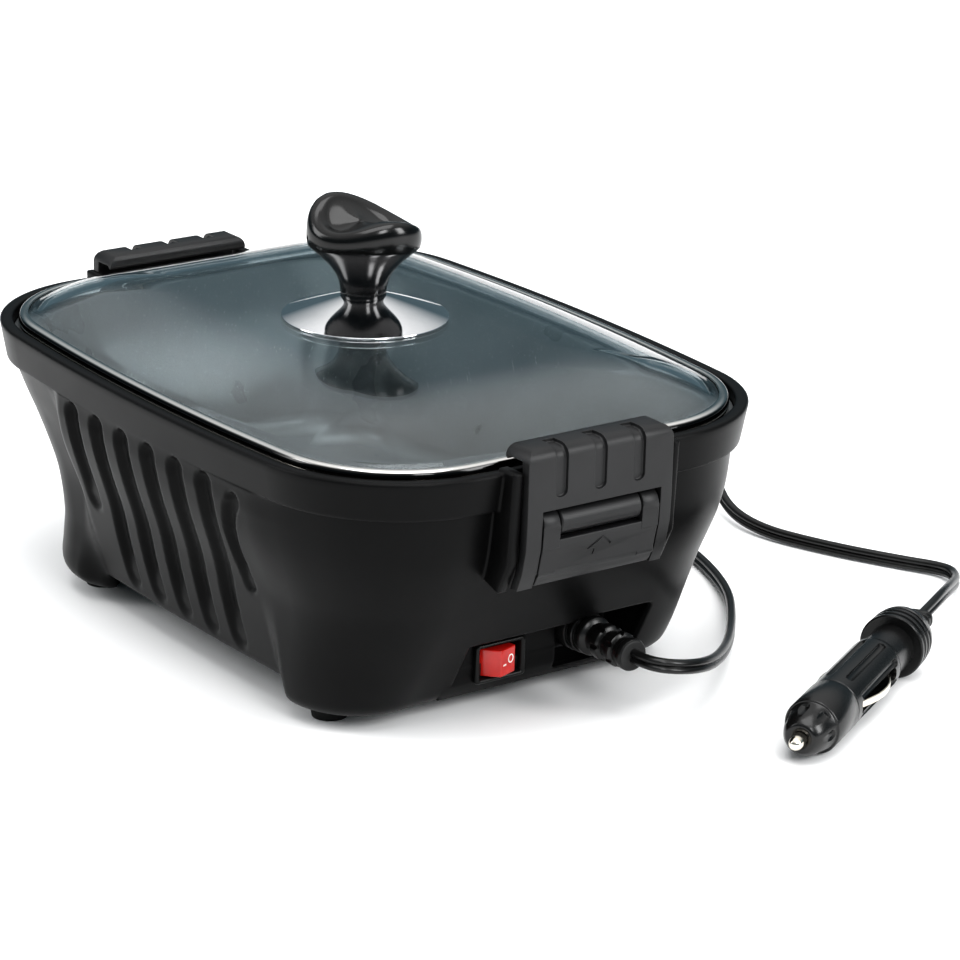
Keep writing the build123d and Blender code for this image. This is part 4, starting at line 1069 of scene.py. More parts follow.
    def dent(self, x: float, z: float) -> float:
        """Depth of the grooves at a place on a side wall."""
        for index in range(self.groove_count + 1):
            knots, half = self.groove_path, self.groove_half
            base = self.first_groove + index * self.groove_pitch
            low = self.short_low if index == 0 else knots[0][0]
            if index == self.groove_count:
                knots, half, base = self.crescent, half * self.crescent_share, 0.0
                low = knots[0][0]
            high = knots[-1][0]
            held = min(high, max(low, z))
            centre = base + curve(knots, held)[0]
            slope = (curve(knots, min(high, held + 1))[0] - curve(knots, max(low, held - 1))[0]) / 2
            away = math.hypot(abs(x - centre) / math.sqrt(1 + slope * slope), z - held)
            if away < half * self.groove_slope[1]:
                fade = self.fade_share + (1 - self.fade_share) * step_up(low, low + self.fade_height, z)
                foot, lip = (half * share for share in self.groove_slope)
                return self.groove_depth * fade * (1 - step_up(foot, lip, away))
        return 0.0

    def push(self, x: float, y: float, z: float) -> float:
        """How far the wall stands out from its plain plan at a place."""
        if abs(y) < self.side_place[0]:
            return 0.0
        panel = self.panel_base + self.panel_swell * step_up(*self.swell_heights, z)
        panel -= self.panel_tuck * step_up(*self.tuck_heights, z)
        panel *= step_up(*self.panel_rear, x) * (1 - step_up(*self.panel_front, x))
        corner = self.front_corner * step_up(*self.front_corner_place, x)
        corner *= 1 - step_up(*self.front_corner_heights, z)
        corner += curve(self.rear_corner, z)[0] * (1 - step_up(*self.rear_corner_place, x))
        return panel + corner * step_up(*self.side_place, abs(y)) - self.dent(x, z)

    def lift(self, x: float, y: float) -> float:
        """Share of the arch between the legs: 0 over a leg or an end, 1 between the legs."""
        along = step_up(*self.arch_rear, x) * (1 - step_up(*self.arch_front, x))
        return along * step_up(*self.arch_side, abs(y))

    def skin(self, part: float, outward: bool) -> Ring:
        """Ring of the tub's outer or inner skin, at a share of the way up."""
        rings = []
        for low, radius in (self.leg, self.arch):
            z = low + (self.collar_low - 0.2 - low) * part
            inset = 0.0 if outward else self.wall
            if outward and z - low < radius:
                inset = radius - math.sqrt(radius**2 - (radius - z + low) ** 2)
            rings.append((z, self.plan(z, inset), self.plan(z, inset + 1.0)))
        ring = []
        (z_a, plan_a, in_a), (z_b, plan_b, in_b) = rings
        for a, b, c, d in zip(plan_a, plan_b, in_a, in_b):
            share = self.lift(*a)
            x, y = (p + (q - p) * share for p, q in zip(a, b))
            z = z_a + (z_b - z_a) * share
            move = self.push(x, y, z)
            if not outward:
                move = min(0.0, move + self.dent(x, z) + self.groove_wall)
            out_x, out_y = (p - r + (q - p - s + r) * share for p, q, r, s in zip(a, b, c, d))
            ring.append(Vector((x + out_x * move, y + out_y * move, z)) * MM)
        return ring

    def rim_ring(self, z: float, inset: float) -> Ring:
        """Ring of the collar, with the groove ends in its lower part."""
        plan = self.outline
        collar = Outline(plan.half_x, plan.half_y, plan.corner, plan.bow, *self.segments)
        dented = z < self.collar_groove_top and inset < self.collar_skin
        ring = []
        for x, y in collar.points(inset):
            move = -self.dent(x, z) if dented and abs(y) > self.collar_side else 0.0
            ring.append(Vector((x, y + math.copysign(move, y), z)) * MM)
        return ring

    def tub(self) -> Piece:
        """Returns tub and collar in one skin with its wall thickness."""
        start = self.low_parts[-1]
        parts = list(self.low_parts)
        for step in range(self.level_count):
            parts.append(start + (1 - start) * (1 - (1 - (step + 1) / self.level_count) ** self.level_bias))
        rings = [self.skin(part, True) for part in parts]
        rings += [self.rim_ring(z, inset) for z, inset in self.collar]
        rings += [self.skin(part, False) for part in self.inner_parts]
        return Bench.stack("tub", rings, closed=True)

    def recess(self, tub: Piece) -> Piece:
        """Cuts the control recess out of the tub and returns the recess's own walls."""
        liner = Bench.prism("liner", self.lining, Axis.Y, *self.lining_span)
        floor = self.recess_floor
        for piece, margin in ((tub, self.recess_margin), (liner, 0.0)):
            for (low, high), top, back, corner in self.pockets:
                middle, rise = (low + high) / 2, (top - floor) / 2
                outline = rounded((high - low) / 2 + margin, rise + margin, corner)
                face = [(a + middle, b + floor + rise) for a, b in outline]
                cutter = Bench.prism("pocket", face, Axis.X, back - margin, self.recess_front)
                Bench.combine(piece, [cutter], "DIFFERENCE")
        Bench.combine(liner, [Bench.block("hole", low, high) for low, high in self.holes], "DIFFERENCE")
        return liner

    def seats(self) -> list[Piece]:
        """Returns the guard ribs and barrels of both ends, and the leg floors."""
        pieces = [Bench.prism("guard", self.guard, Axis.Y, low, high) for low, high in self.guard_spans]
        for piece in pieces:
            Bench.soften(piece, self.guard_edge, 3, 30)
        pieces.append(Bench.block("web", *self.web))
        pieces.append(Bench.turned("barrel", self.barrel, Axis.Y, self.barrel_centre, 48))
        pieces += [Bench.twin(piece, f"{piece.name}_rear", HALF_TURN) for piece in pieces]
        low, high = self.leg_floor_heights
        for x_low, x_high in self.leg_floors:
            for side in (1, -1):
                y_low, y_high = sorted(side * y for y in self.leg_floor_side)
                pieces.append(Bench.block("leg_floor", (x_low, y_low, low), (x_high, y_high, high)))
        return pieces

    def build(self, finishes: Finishes) -> None:
        """Builds and dresses the housing; the latch barrels take the latches' duller finish."""
        tub = self.tub()
        Bench.join(tub, [self.recess(tub)] + self.seats())
        tub.name = tub.data.name = "housing_shell"
        finished(tub, finishes.housing, "base", "housing")
        tub.data.materials.append(finishes.latch)
        low, high = self.matt_heights
        for face in tub.data.polygons:
            x, y, z = face.center / MM
            if abs(x) > self.matt_from and abs(y) < self.matt_half and low < z < high:
                face.material_index = 1


@dataclass
class LidSet:
    """Glass dome, its steel rim and the round plate under the knob; sizes in millimetres."""

    outline: Outline
    edge_low: float = 102.6
    edge_top: float = 106.6
    top: float = 119.4
    edge_inset: float = 8.2
    dome_inset: float = 10.8
    dome_run: float = 55.0
    dome_power: float = 2.6
    dome_steps: int = 16
    thickness: float = 4.0
    under_lean: float = 1.5
    hole: float = 2.6
    plate_radius: float = 31.3
    plate_edge: float = 120.2
    plate_rise: float = 9.6
    plate_power: float = 1.15
    plate_gauge: float = 0.8
    plate_bore: float = 3.6
    plate_steps: int = 14
    plate_rim: Knots = ((0.05, -0.12), (-0.25, 0.0), (-0.7, -0.2))
    lip: float = 0.3
    crown_parts: tuple[float, ...] = (0.3, 0.6, 0.85, 1.0)
    section: Knots = (
        (7.0, 101.4), (7.15, 101.1), (7.5, 101.0), (10.2, 101.0), (10.55, 101.15), (10.6, 101.5),
        (10.6, 102.5), (10.5, 102.58), (8.1, 102.58), (8.0, 102.7), (8.0, 106.5), (8.1, 106.62),
        (10.5, 106.62), (10.6, 106.72), (10.6, 107.1), (10.45, 107.38), (10.1, 107.5), (9.2, 107.5),
        (8.6, 107.45), (8.0, 107.2), (7.5, 106.75), (7.15, 106.1), (7.0, 105.4), (7.0, 104.5),
        (7.25, 104.35), (7.25, 104.05), (7.0, 103.9),
    )

    def dome_rings(self, lean: float, drop: float) -> list[Ring]:
        """Rings of the dome from its edge up to the hole, moved inward by lean and down by drop."""
        rings = []
        for step in range(self.dome_steps + 1):
            part = step / self.dome_steps
            inset = self.dome_inset + lean + (self.dome_run - lean) * part
            rise = (self.top - self.edge_top) * (1 - (1 - part) ** self.dome_power)
            rings.append(self.outline.ring(inset, self.edge_top + rise - drop))
        edge = rings[-1]
        for part in self.crown_parts:
            ring = []
            for point in edge:
                angle = math.atan2(point.y, point.x)
                goal = Vector((self.hole * math.cos(angle) * MM, self.hole * math.sin(angle) * MM, point.z))
                ring.append(point.lerp(goal, part))
            rings.append(ring)
        return rings

    def glass(self) -> Piece:
        """Returns the domed glass with its screw hole."""
        inset, lip, low, top = self.edge_inset, self.lip, self.edge_low, self.edge_top
        corners = ((inset + lip, top), (inset, top - lip), (inset, low + lip), (inset + lip, low))
        edge = [self.outline.ring(*corner) for corner in corners]
        upper = self.dome_rings(0, 0)[::-1]
        lower = self.dome_rings(self.under_lean, self.thickness)
        return Bench.stack("glass_dome", upper + edge + lower, closed=True)

    def rim(self) -> Piece:
        """Returns the rolled steel rim."""
        return Bench.stack("lid_band", [self.outline.ring(inset, z) for inset, z in self.section], closed=True)

    def plate(self) -> Piece:
        """Returns the shallow cone of the round plate."""
        flat = self.plate_radius - 0.5
        profile = []
        for step in range(self.plate_steps + 1):
            r = self.plate_bore + (flat - self.plate_bore) * step / self.plate_steps
            rise = self.plate_rise * (1 - (r / self.plate_radius) ** self.plate_power)
            profile.append((self.plate_edge + rise, r))
        under = [(s - self.plate_gauge, r) for s, r in reversed(profile)]
        profile += [(self.plate_edge + rise, self.plate_radius + grow) for rise, grow in self.plate_rim]
        return Bench.turned("round_plate", profile + under, Axis.Z, steps=128, closed=True)

    def build(self, finishes: Finishes) -> None:
        """Builds and dresses the lid's pieces."""
        finished(self.glass(), finishes.glass, "lid", "lid_glass", angle=40)
        finished(self.rim(), finishes.rim, "lid", "lid_rim", angle=40)
        finished(self.plate(), finishes.polished, "lid", "knob_plate", angle=40)


@dataclass
class KnobSet:
    """Saddle-shaped knob: trumpet neck, crease, side wall with a wavy ridge, and a thumb dish.

    Sizes are in millimetres. Rows of the neck are half length, half width and height; rows of the
    side are a share of the way up to the ridge, half length and half width; rows of the dish are
    a share, a drop, half length and half width.
    """

    yaw: float = 54.0
    bottom: float = 123.4
    foot: float = 127.2
    offset: float = -0.85
    crease: float = 147.2
    middle: float = 157.99
    waves: tuple[Pair, ...] = ((-2.35, 2.2), (-0.61, -3.28), (-0.31, 0.01))
    bore_radius: float = 3.45
    bore_top: float = 135.6
    sleeve: float = 5.6
    dish_shift: float = -2.2
    steps: int = 96
    neck: Knots = (
        (8.2, 8.2, 127.2), (8.6, 8.6, 127.6), (8.65, 8.65, 130.0), (9.2, 9.0, 133.2), (10.5, 9.8, 136.2),
        (12.7, 11.0, 139.2), (15.4, 12.4, 142.0), (18.2, 13.8, 144.4), (20.3, 15.0, 146.2), (20.9, 15.4, 146.9),
    )
    side: Knots = (
        (0.02, 21.0, 15.6), (0.15, 21.3, 15.9), (0.35, 21.4, 16.0), (0.55, 21.3, 15.9), (0.72, 21.0, 15.6),
        (0.86, 20.4, 15.0), (0.95, 19.5, 14.2), (0.99, 18.5, 13.3), (1.0, 17.2, 12.2),
    )
    dish: Knots = (
        (0.99, 0.15, 15.4, 10.8), (0.96, 0.4, 13.6, 9.4), (0.93, 1.0, 13.0, 9.0), (0.78, 1.5, 11.4, 7.8),
        (0.58, 1.7, 8.8, 6.0), (0.38, 1.8, 6.0, 4.1), (0.2, 1.85, 3.0, 2.1), (0.12, 1.85, 0.8, 0.6),
    )

    def ridge(self, angle: float) -> float:
        """Height of the ridge at an angle, measured from the knob's right-hand end."""
        height = self.middle
        for order, (along, across) in enumerate(self.waves, start=1):
            height += along * math.cos(order * angle) + across * math.sin(order * angle)
        return height

    def ring(self, long: float, short: float, base: float, share: float, drop: float, shift: float) -> Ring:
        """Oval ring that follows the ridge by a share.

        Args:
            long: half length of the oval.
            short: its half width.
            base: height at share 0.
            share: how far it goes from the base to the ridge.
            drop: taken off the height.
            shift: place of its middle along the length.

        Returns:
            Points in metres.
        """
        yaw = math.radians(self.yaw)
        ring = []
        for step in range(self.steps):
            angle = 2 * math.pi * step / self.steps
            x, y = shift + long * math.cos(angle), short * math.sin(angle)
            z = base + share * (self.ridge(angle) - base) - drop
            place = (x * math.cos(yaw) - y * math.sin(yaw), x * math.sin(yaw) + y * math.cos(yaw), z)
            ring.append(Vector(place) * MM)
        return ring

    def build(self, finishes: Finishes) -> None:
        """Builds and dresses the knob from its bore over the neck and the side to the dish."""
        bore, sleeve, low, foot = self.bore_radius, self.sleeve, self.bottom, self.foot
        inside = ((bore, self.bore_top), (bore, low), (sleeve, low), (sleeve, foot))
        rings = [self.ring(radius, radius, z, 0.0, 0.0, 0.0) for radius, z in inside]
        rings += [self.ring(long, short, z, 0.0, 0.0, self.offset) for long, short, z in self.neck]
        rings += [self.ring(long, short, self.crease, part, 0.0, self.offset) for part, long, short in self.side]
        for share, drop, long, short in self.dish:
            rings.append(self.ring(long, short, self.middle, share, drop, self.dish_shift))
        finished(Bench.stack("knob_grip", rings), finishes.gloss, "lid", "knob", angle=50)


@dataclass
class LatchSet:
    """Hook and lever of the control end, copied by half a turn to the other end; in millimetres."""

    low: float = -32.0
    high: float = 30.4
    leg_inner: float = 25.6
    window_top: float = 91.3
    lever_half: float = 25.0
    barrel_half: float = 17.3
    pivot: Pair = (142.6, 85.5)
    link: Pair = (142.6, 68.0)
    groove_pitch: float = 16.7
    groove_half: float = 2.6
    groove_shift: float = -1.2
    top_corner: float = 5.0
    pin: float = 1.2
    pin_inner: float = 15.2
    pin_inset: float = 0.8
    hook_bore: float = 1.32
    hook_bore_inset: float = 0.6
    link_bore: float = 1.24
    link_bore_inner: float = 14.9
    pivot_bore: float = 1.62
    boss: float = 2.3
    knuckle: float = 5.0
    sunk: float = 0.45
    flap_foot: Pair = (144.8, 68.0)
    flap_lean: float = 0.2375

    def rod(self, name: str, place: Pair, profile: Knots, steps: int) -> Piece:
        """Round solid along Y through a place in X and Z, for a pin, a boss or a cutter."""
        return Bench.turned(name, profile, Axis.Y, (place[0], 0, place[1]), steps)

    def bore(self, place: Pair, low: float, high: float, radius: float) -> Piece:
        """Cutter for a pin hole along Y."""
        return self.rod("bore", place, [(low, radius), (high, radius)], 24)

    def hook(self) -> Piece:
        """Returns the hook with its window and three grooves."""
        profile = [
            (135.4, 114.0), (143.0, 114.0), (144.8, 113.6), (146.3, 112.5), (147.1, 111.0), (147.3, 109.4),
            (147.3, 88.0), (146.8, 78.0), (144.8, 68.8), (142.0, 62.0), (138.2, 62.0), (140.8, 68.8),
            (142.9, 78.0), (143.4, 88.0), (143.4, 109.6), (136.0, 109.6), (135.2, 108.6), (134.2, 108.4),
            (133.6, 109.4), (133.6, 112.0), (134.2, 113.4),
        ]
        piece = Bench.prism("hook", profile, Axis.Y, self.low, self.high)
        middle, half = (self.low + self.high) / 2, (self.high - self.low) / 2
        face = [(a + middle, b + 72.0) for a, b in rounded(half, 42.0, self.top_corner, 8)]
        Bench.combine(piece, [Bench.prism("face", face, Axis.X, 120, 160)], "INTERSECT")
        Bench.soften(piece, 1.2, 4, 40)
        band = [
            (138.2, 120.0), (138.2, 112.6), (142.6, 112.5), (143.9, 112.2), (144.9, 111.4), (145.6, 110.2),
            (145.9, 109.0), (145.9, 95.5), (160.0, 95.5), (160.0, 120.0),
        ]
        for column in (-1, 0, 1):
            middle = column * self.groove_pitch + self.groove_shift
            cutter = Bench.prism("groove", band, Axis.Y, middle - self.groove_half, middle + self.groove_half)
            end = [(a + middle, b + 115.5) for a, b in rounded(self.groove_half, 20.0, self.groove_half - 0.1, 8)]
            Bench.combine(cutter, [Bench.prism("end", end, Axis.X, 130, 165)], "INTERSECT")
            Bench.soften(cutter, 0.5, 3, 60)
            Bench.combine(piece, [cutter], "DIFFERENCE")
        window = Bench.block("window", (120, -self.leg_inner, 50), (160, self.leg_inner, self.window_top))
        inset = self.hook_bore_inset
        bore = self.bore(self.link, self.low + inset, self.high - inset, self.hook_bore)
        Bench.combine(piece, [window, bore], "DIFFERENCE")
        return piece

    def flap_face(self, z: float) -> float:
        """X of the flap's outer face at a height."""
        return self.flap_foot[0] + (z - self.flap_foot[1]) * self.flap_lean

    def engraving(self, outline: Knots) -> Piece:
        """Cutter that sinks an outline in Y and Z into the flap's face."""
        rings = [[Vector((self.flap_face(z) + out, y, z)) * MM for y, z in outline] for out in (-self.sunk, 2.0)]
        return Bench.stack("engraving", rings)

    def lever(self) -> Piece:
        """Returns the flap with its knuckles and its plain arrow."""
        profile = [
            (143.3, 79.9), (147.0, 79.9), (146.7, 76.0), (144.8, 68.0), (143.4, 64.6), (142.0, 62.6),
            (138.6, 62.6), (140.6, 68.0), (142.8, 76.0),
        ]
        piece = Bench.prism("lever", profile, Axis.Y, -self.lever_half, self.lever_half)
        Bench.soften(piece, 0.45, 3, 40)
        inner = self.barrel_half + 0.5
        horn = [(140.6, 85.5), (147.5, 85.5), (147.2, 81.0), (146.9, 77.0), (142.9, 77.0)]
        for low, high in ((-self.lever_half, -inner), (inner, self.lever_half)):
            full = self.knuckle
            knuckle = [(low, full - 0.6), (low + 0.3, full - 0.15), (low + 0.7, full)]
            knuckle += [(high - 0.7, full), (high - 0.3, full - 0.15), (high, full - 0.6)]
            tools = [
                Bench.prism("horn", horn, Axis.Y, low, high),
                self.rod("knuckle", self.pivot, knuckle, 48),
                self.rod("boss", self.link, [(low, self.boss), (high, self.boss)], 32),
            ]
            Bench.combine(piece, tools, "UNION")
        arrow = [
            [(0.9, 78.3), (-5.3, 74.3), (-5.0, 73.5), (0.9, 77.2)],
            [(0.9, 78.3), (0.9, 77.2), (4.6, 73.9), (5.0, 74.6)],
            [(-2.6, 73.4), (-2.9, 71.4), (-2.2, 71.4), (-1.9, 73.4)],
        ]
        Bench.combine(piece, [self.engraving(outline) for outline in arrow], "DIFFERENCE")
        reach, inner = self.lever_half + 2, self.link_bore_inner
        bores = [
            self.bore(self.pivot, -reach, reach, self.pivot_bore),
            self.bore(self.link, -reach, -inner, self.link_bore),
            self.bore(self.link, inner, reach, self.link_bore),
        ]
        Bench.combine(piece, bores, "DIFFERENCE")
        return piece

    def pins(self) -> Piece:
        """Returns the two short pins that join hook and lever."""
        rods = []
        end = self.pin - 0.2
        spans = ((self.low + self.pin_inset, -self.pin_inner), (self.pin_inner, self.high - self.pin_inset))
        for low, high in spans:
            profile = [(low, end), (low + 0.2, self.pin), (high - 0.2, self.pin), (high, end)]
            rods.append(self.rod("pins", self.link, profile, 24))
        Bench.join(rods[0], rods[1:])
        return rods[0]

    def build(self, finishes: Finishes) -> None:
        """Builds both ends' hooks, levers and hook pins."""
        for make, part, body, finish in (
            (self.hook, "hook", "hook", finishes.latch),
            (self.lever, "lever", "lever", finishes.latch),
            (self.pins, "hook_pin", "lever", finishes.steel),
        ):
            piece = make()
            piece.name = piece.data.name = f"latch_{part}_front"
            other = Bench.twin(piece, f"latch_{part}_rear", HALF_TURN)
            finished(piece, finish, f"front_latch_{body}", f"front_{part}")
            finished(other, finish, f"rear_latch_{body}", f"rear_{part}")


@dataclass
class SwitchSet:
    """Bezel, rocker and the rocker's marks; sizes in millimetres."""

    place: Point = (103.5, -10.8, 19.8)
    pivot_x: float = 99.0
    tilt: float = 13.0
    half: float = 7.2
    peak: float = 9.8
    low: float = 5.5
    height: float = 10.2
    bar: Pair = (0.85, 0.28)
    ring_mark: Knots = ((1.25, -0.1), (1.7, -0.1), (1.7, 0.1), (1.62, 0.15), (1.33, 0.15), (1.25, 0.1))
    mark_oval: float = 0.92
    mark_steps: int = 32

    def framed(self, x: float, half_y: float, half_z: float, corner: float) -> Ring:
        """Rounded rectangle square to X, about the switch's middle."""
        _, y, z = self.place
        return [Vector((x, y + a, z + b)) * MM for a, b in rounded(half_y, half_z, corner)]

    def bezel(self) -> Piece:
        """Returns the bezel with its body and cavity."""
        rows = (
            (-7.3, 8.7, 5.5, 0.4), (0.6, 8.7, 5.5, 0.4), (1.5, 9.2, 5.95, 0.7), (1.9, 9.6, 6.3, 0.9),
            (2.0, 9.9, 6.6, 1.0), (1.9, 10.5, 7.1, 1.2), (1.5, 10.85, 7.45, 1.3), (0.9, 10.95, 7.55, 1.3),
            (0.0, 10.95, 7.55, 1.3), (0.0, 9.5, 6.3, 0.6), (-15.0, 9.5, 6.3, 0.6),
        )
        return Bench.stack("switch_bezel", [self.framed(self.place[0] + x, *sizes) for x, *sizes in rows])

    def turned_point(self, x: float, y: float) -> Vector:
        """Point of the rocker's own plan in the row frame, in millimetres at mid height."""
        angle = math.radians(-self.tilt)
        rotated = (x * math.cos(angle) - y * math.sin(angle), x * math.sin(angle) + y * math.cos(angle))
        return Vector((self.pivot_x + rotated[0], self.place[1] + rotated[1], self.place[2]))

    def rocker(self) -> Piece:
        """Returns the ridged rocker."""
        plan = [
            (self.low, -self.half), (self.peak - 0.5, -0.9), (self.peak, 0.0), (self.peak - 0.5, 0.9),
            (self.low, self.half), (1.5, 5.4), (-1.5, 2.5), (-1.5, -2.5), (1.5, -5.4),
        ]
        points = [tuple(self.turned_point(x, y))[:2] for x, y in plan]
        middle, half = self.place[2], self.height / 2
        piece = Bench.prism("rocker_cap", points, Axis.Z, middle - half, middle + half)
        Bench.soften(piece, 0.35, 3, 30)
        return piece

    def marks(self) -> Piece:
        """Returns the bar and the ring that stand on the rocker's wide face."""
        ridge, end = self.turned_point(self.peak - 0.5, 0.9), self.turned_point(self.low, self.half)
        along = (end - ridge).normalized()
        out = Vector((along.y, -along.x, 0))
        up = Vector((0, 0, 1))
        bar = ridge + along * 1.0 - up * 0.9
        rings = []
        for rise in (-0.1, 0.12):
            corners = [(a * self.bar[0], b * self.bar[1]) for a, b in ((-1, -1), (1, -1), (1, 1), (-1, 1))]
            rings.append([(bar + along * a + up * b + out * rise) * MM for a, b in corners])
        piece = Bench.stack("rocker_marks", rings)
        centre = ridge + along * 4.6 + up * 0.7
        rings = []
        for radius, rise in self.ring_mark:
            ring = []
            for step in range(self.mark_steps):
                angle = 2 * math.pi * step / self.mark_steps
                spot = along * radius * self.mark_oval * math.cos(angle) + up * radius * math.sin(angle)
                ring.append((centre + spot + out * rise) * MM)
            rings.append(ring)
        Bench.join(piece, [Bench.stack("ring_mark", rings, closed=True)])
        return piece

    def build(self, finishes: Finishes) -> None:
        """Builds and dresses the switch."""
        finished(self.bezel(), finishes.bezel, "base", "switch_body", angle=40)
        finished(self.rocker(), finishes.red, "rocker", "rocker", angle=40)
        finished(self.marks(), finishes.marks, "rocker", angle=30)


@dataclass
class ConnectorSet:
    """Ribbed appliance connector at the cord's near end; sizes in millimetres."""

    axis: Point = (0.0, 24.5, 24.6)
    pin_spacing: float = 8.0
    pin_bore: float = 2.15
    notch: float = 1.0
    notch_count: int = 6
    notches: tuple[tuple[Pair, float, float], ...] = (((119.0, 123.4), 6.9, 0.0), ((126.6, 130.4), 6.6, 0.5))

    def body(self) -> Piece:
        """Returns the connector with its rings and notched discs."""
        profile = [
            (88.0, 7.6), (88.6, 8.2), (105.4, 8.2), (106.0, 7.8), (106.0, 7.0), (108.0, 7.0), (108.0, 7.5),
            (108.4, 7.8), (109.6, 7.8), (110.0, 7.5), (110.0, 6.6), (112.0, 6.6), (112.0, 7.1), (112.4, 7.4),
            (114.0, 7.4), (114.5, 7.1), (115.3, 5.4), (116.0, 5.2), (119.0, 5.2), (119.3, 6.4), (119.7, 6.8),
            (122.6, 6.8), (123.1, 6.4), (123.5, 5.1), (126.6, 5.0), (126.9, 6.1), (127.3, 6.5), (129.8, 6.5),
            (130.2, 6.1), (130.5, 5.1), (132.9, 5.1), (133.3, 5.7), (133.8, 6.0), (135.9, 6.0), (136.2, 5.8),
        ]
        piece = Bench.turned("cord_connector", profile, Axis.X, self.axis, 64)
        for span, radius, turn in self.notches:
            Bench.carve(piece, [(x, self.notch) for x in span], self.axis, radius, self.notch_count, turn)
        for side in (-1, 1):
            centre = (0, self.axis[1] + side * self.pin_spacing / 2, self.axis[2])
            cutter = Bench.turned("bore", [(86.0, self.pin_bore), (98.4, self.pin_bore)], Axis.X, centre, 24)
            Bench.combine(piece, [cutter], "DIFFERENCE")
        return piece

    def grommet(self) -> Piece:
        """Returns the end disc that the cord leaves through."""
        profile = [(136.2, 4.8), (136.2, 5.7), (136.7, 5.6), (137.0, 5.2)]
        return Bench.turned("cord_grommet", profile, Axis.X, self.axis, 48)

    def build(self, finishes: Finishes) -> list[Piece]:
        """Builds and dresses the connector and returns its pieces."""
        body = finished(self.body(), finishes.connector, "base", "connector")
        return [body, finished(self.grommet(), finishes.grommet, "base")]


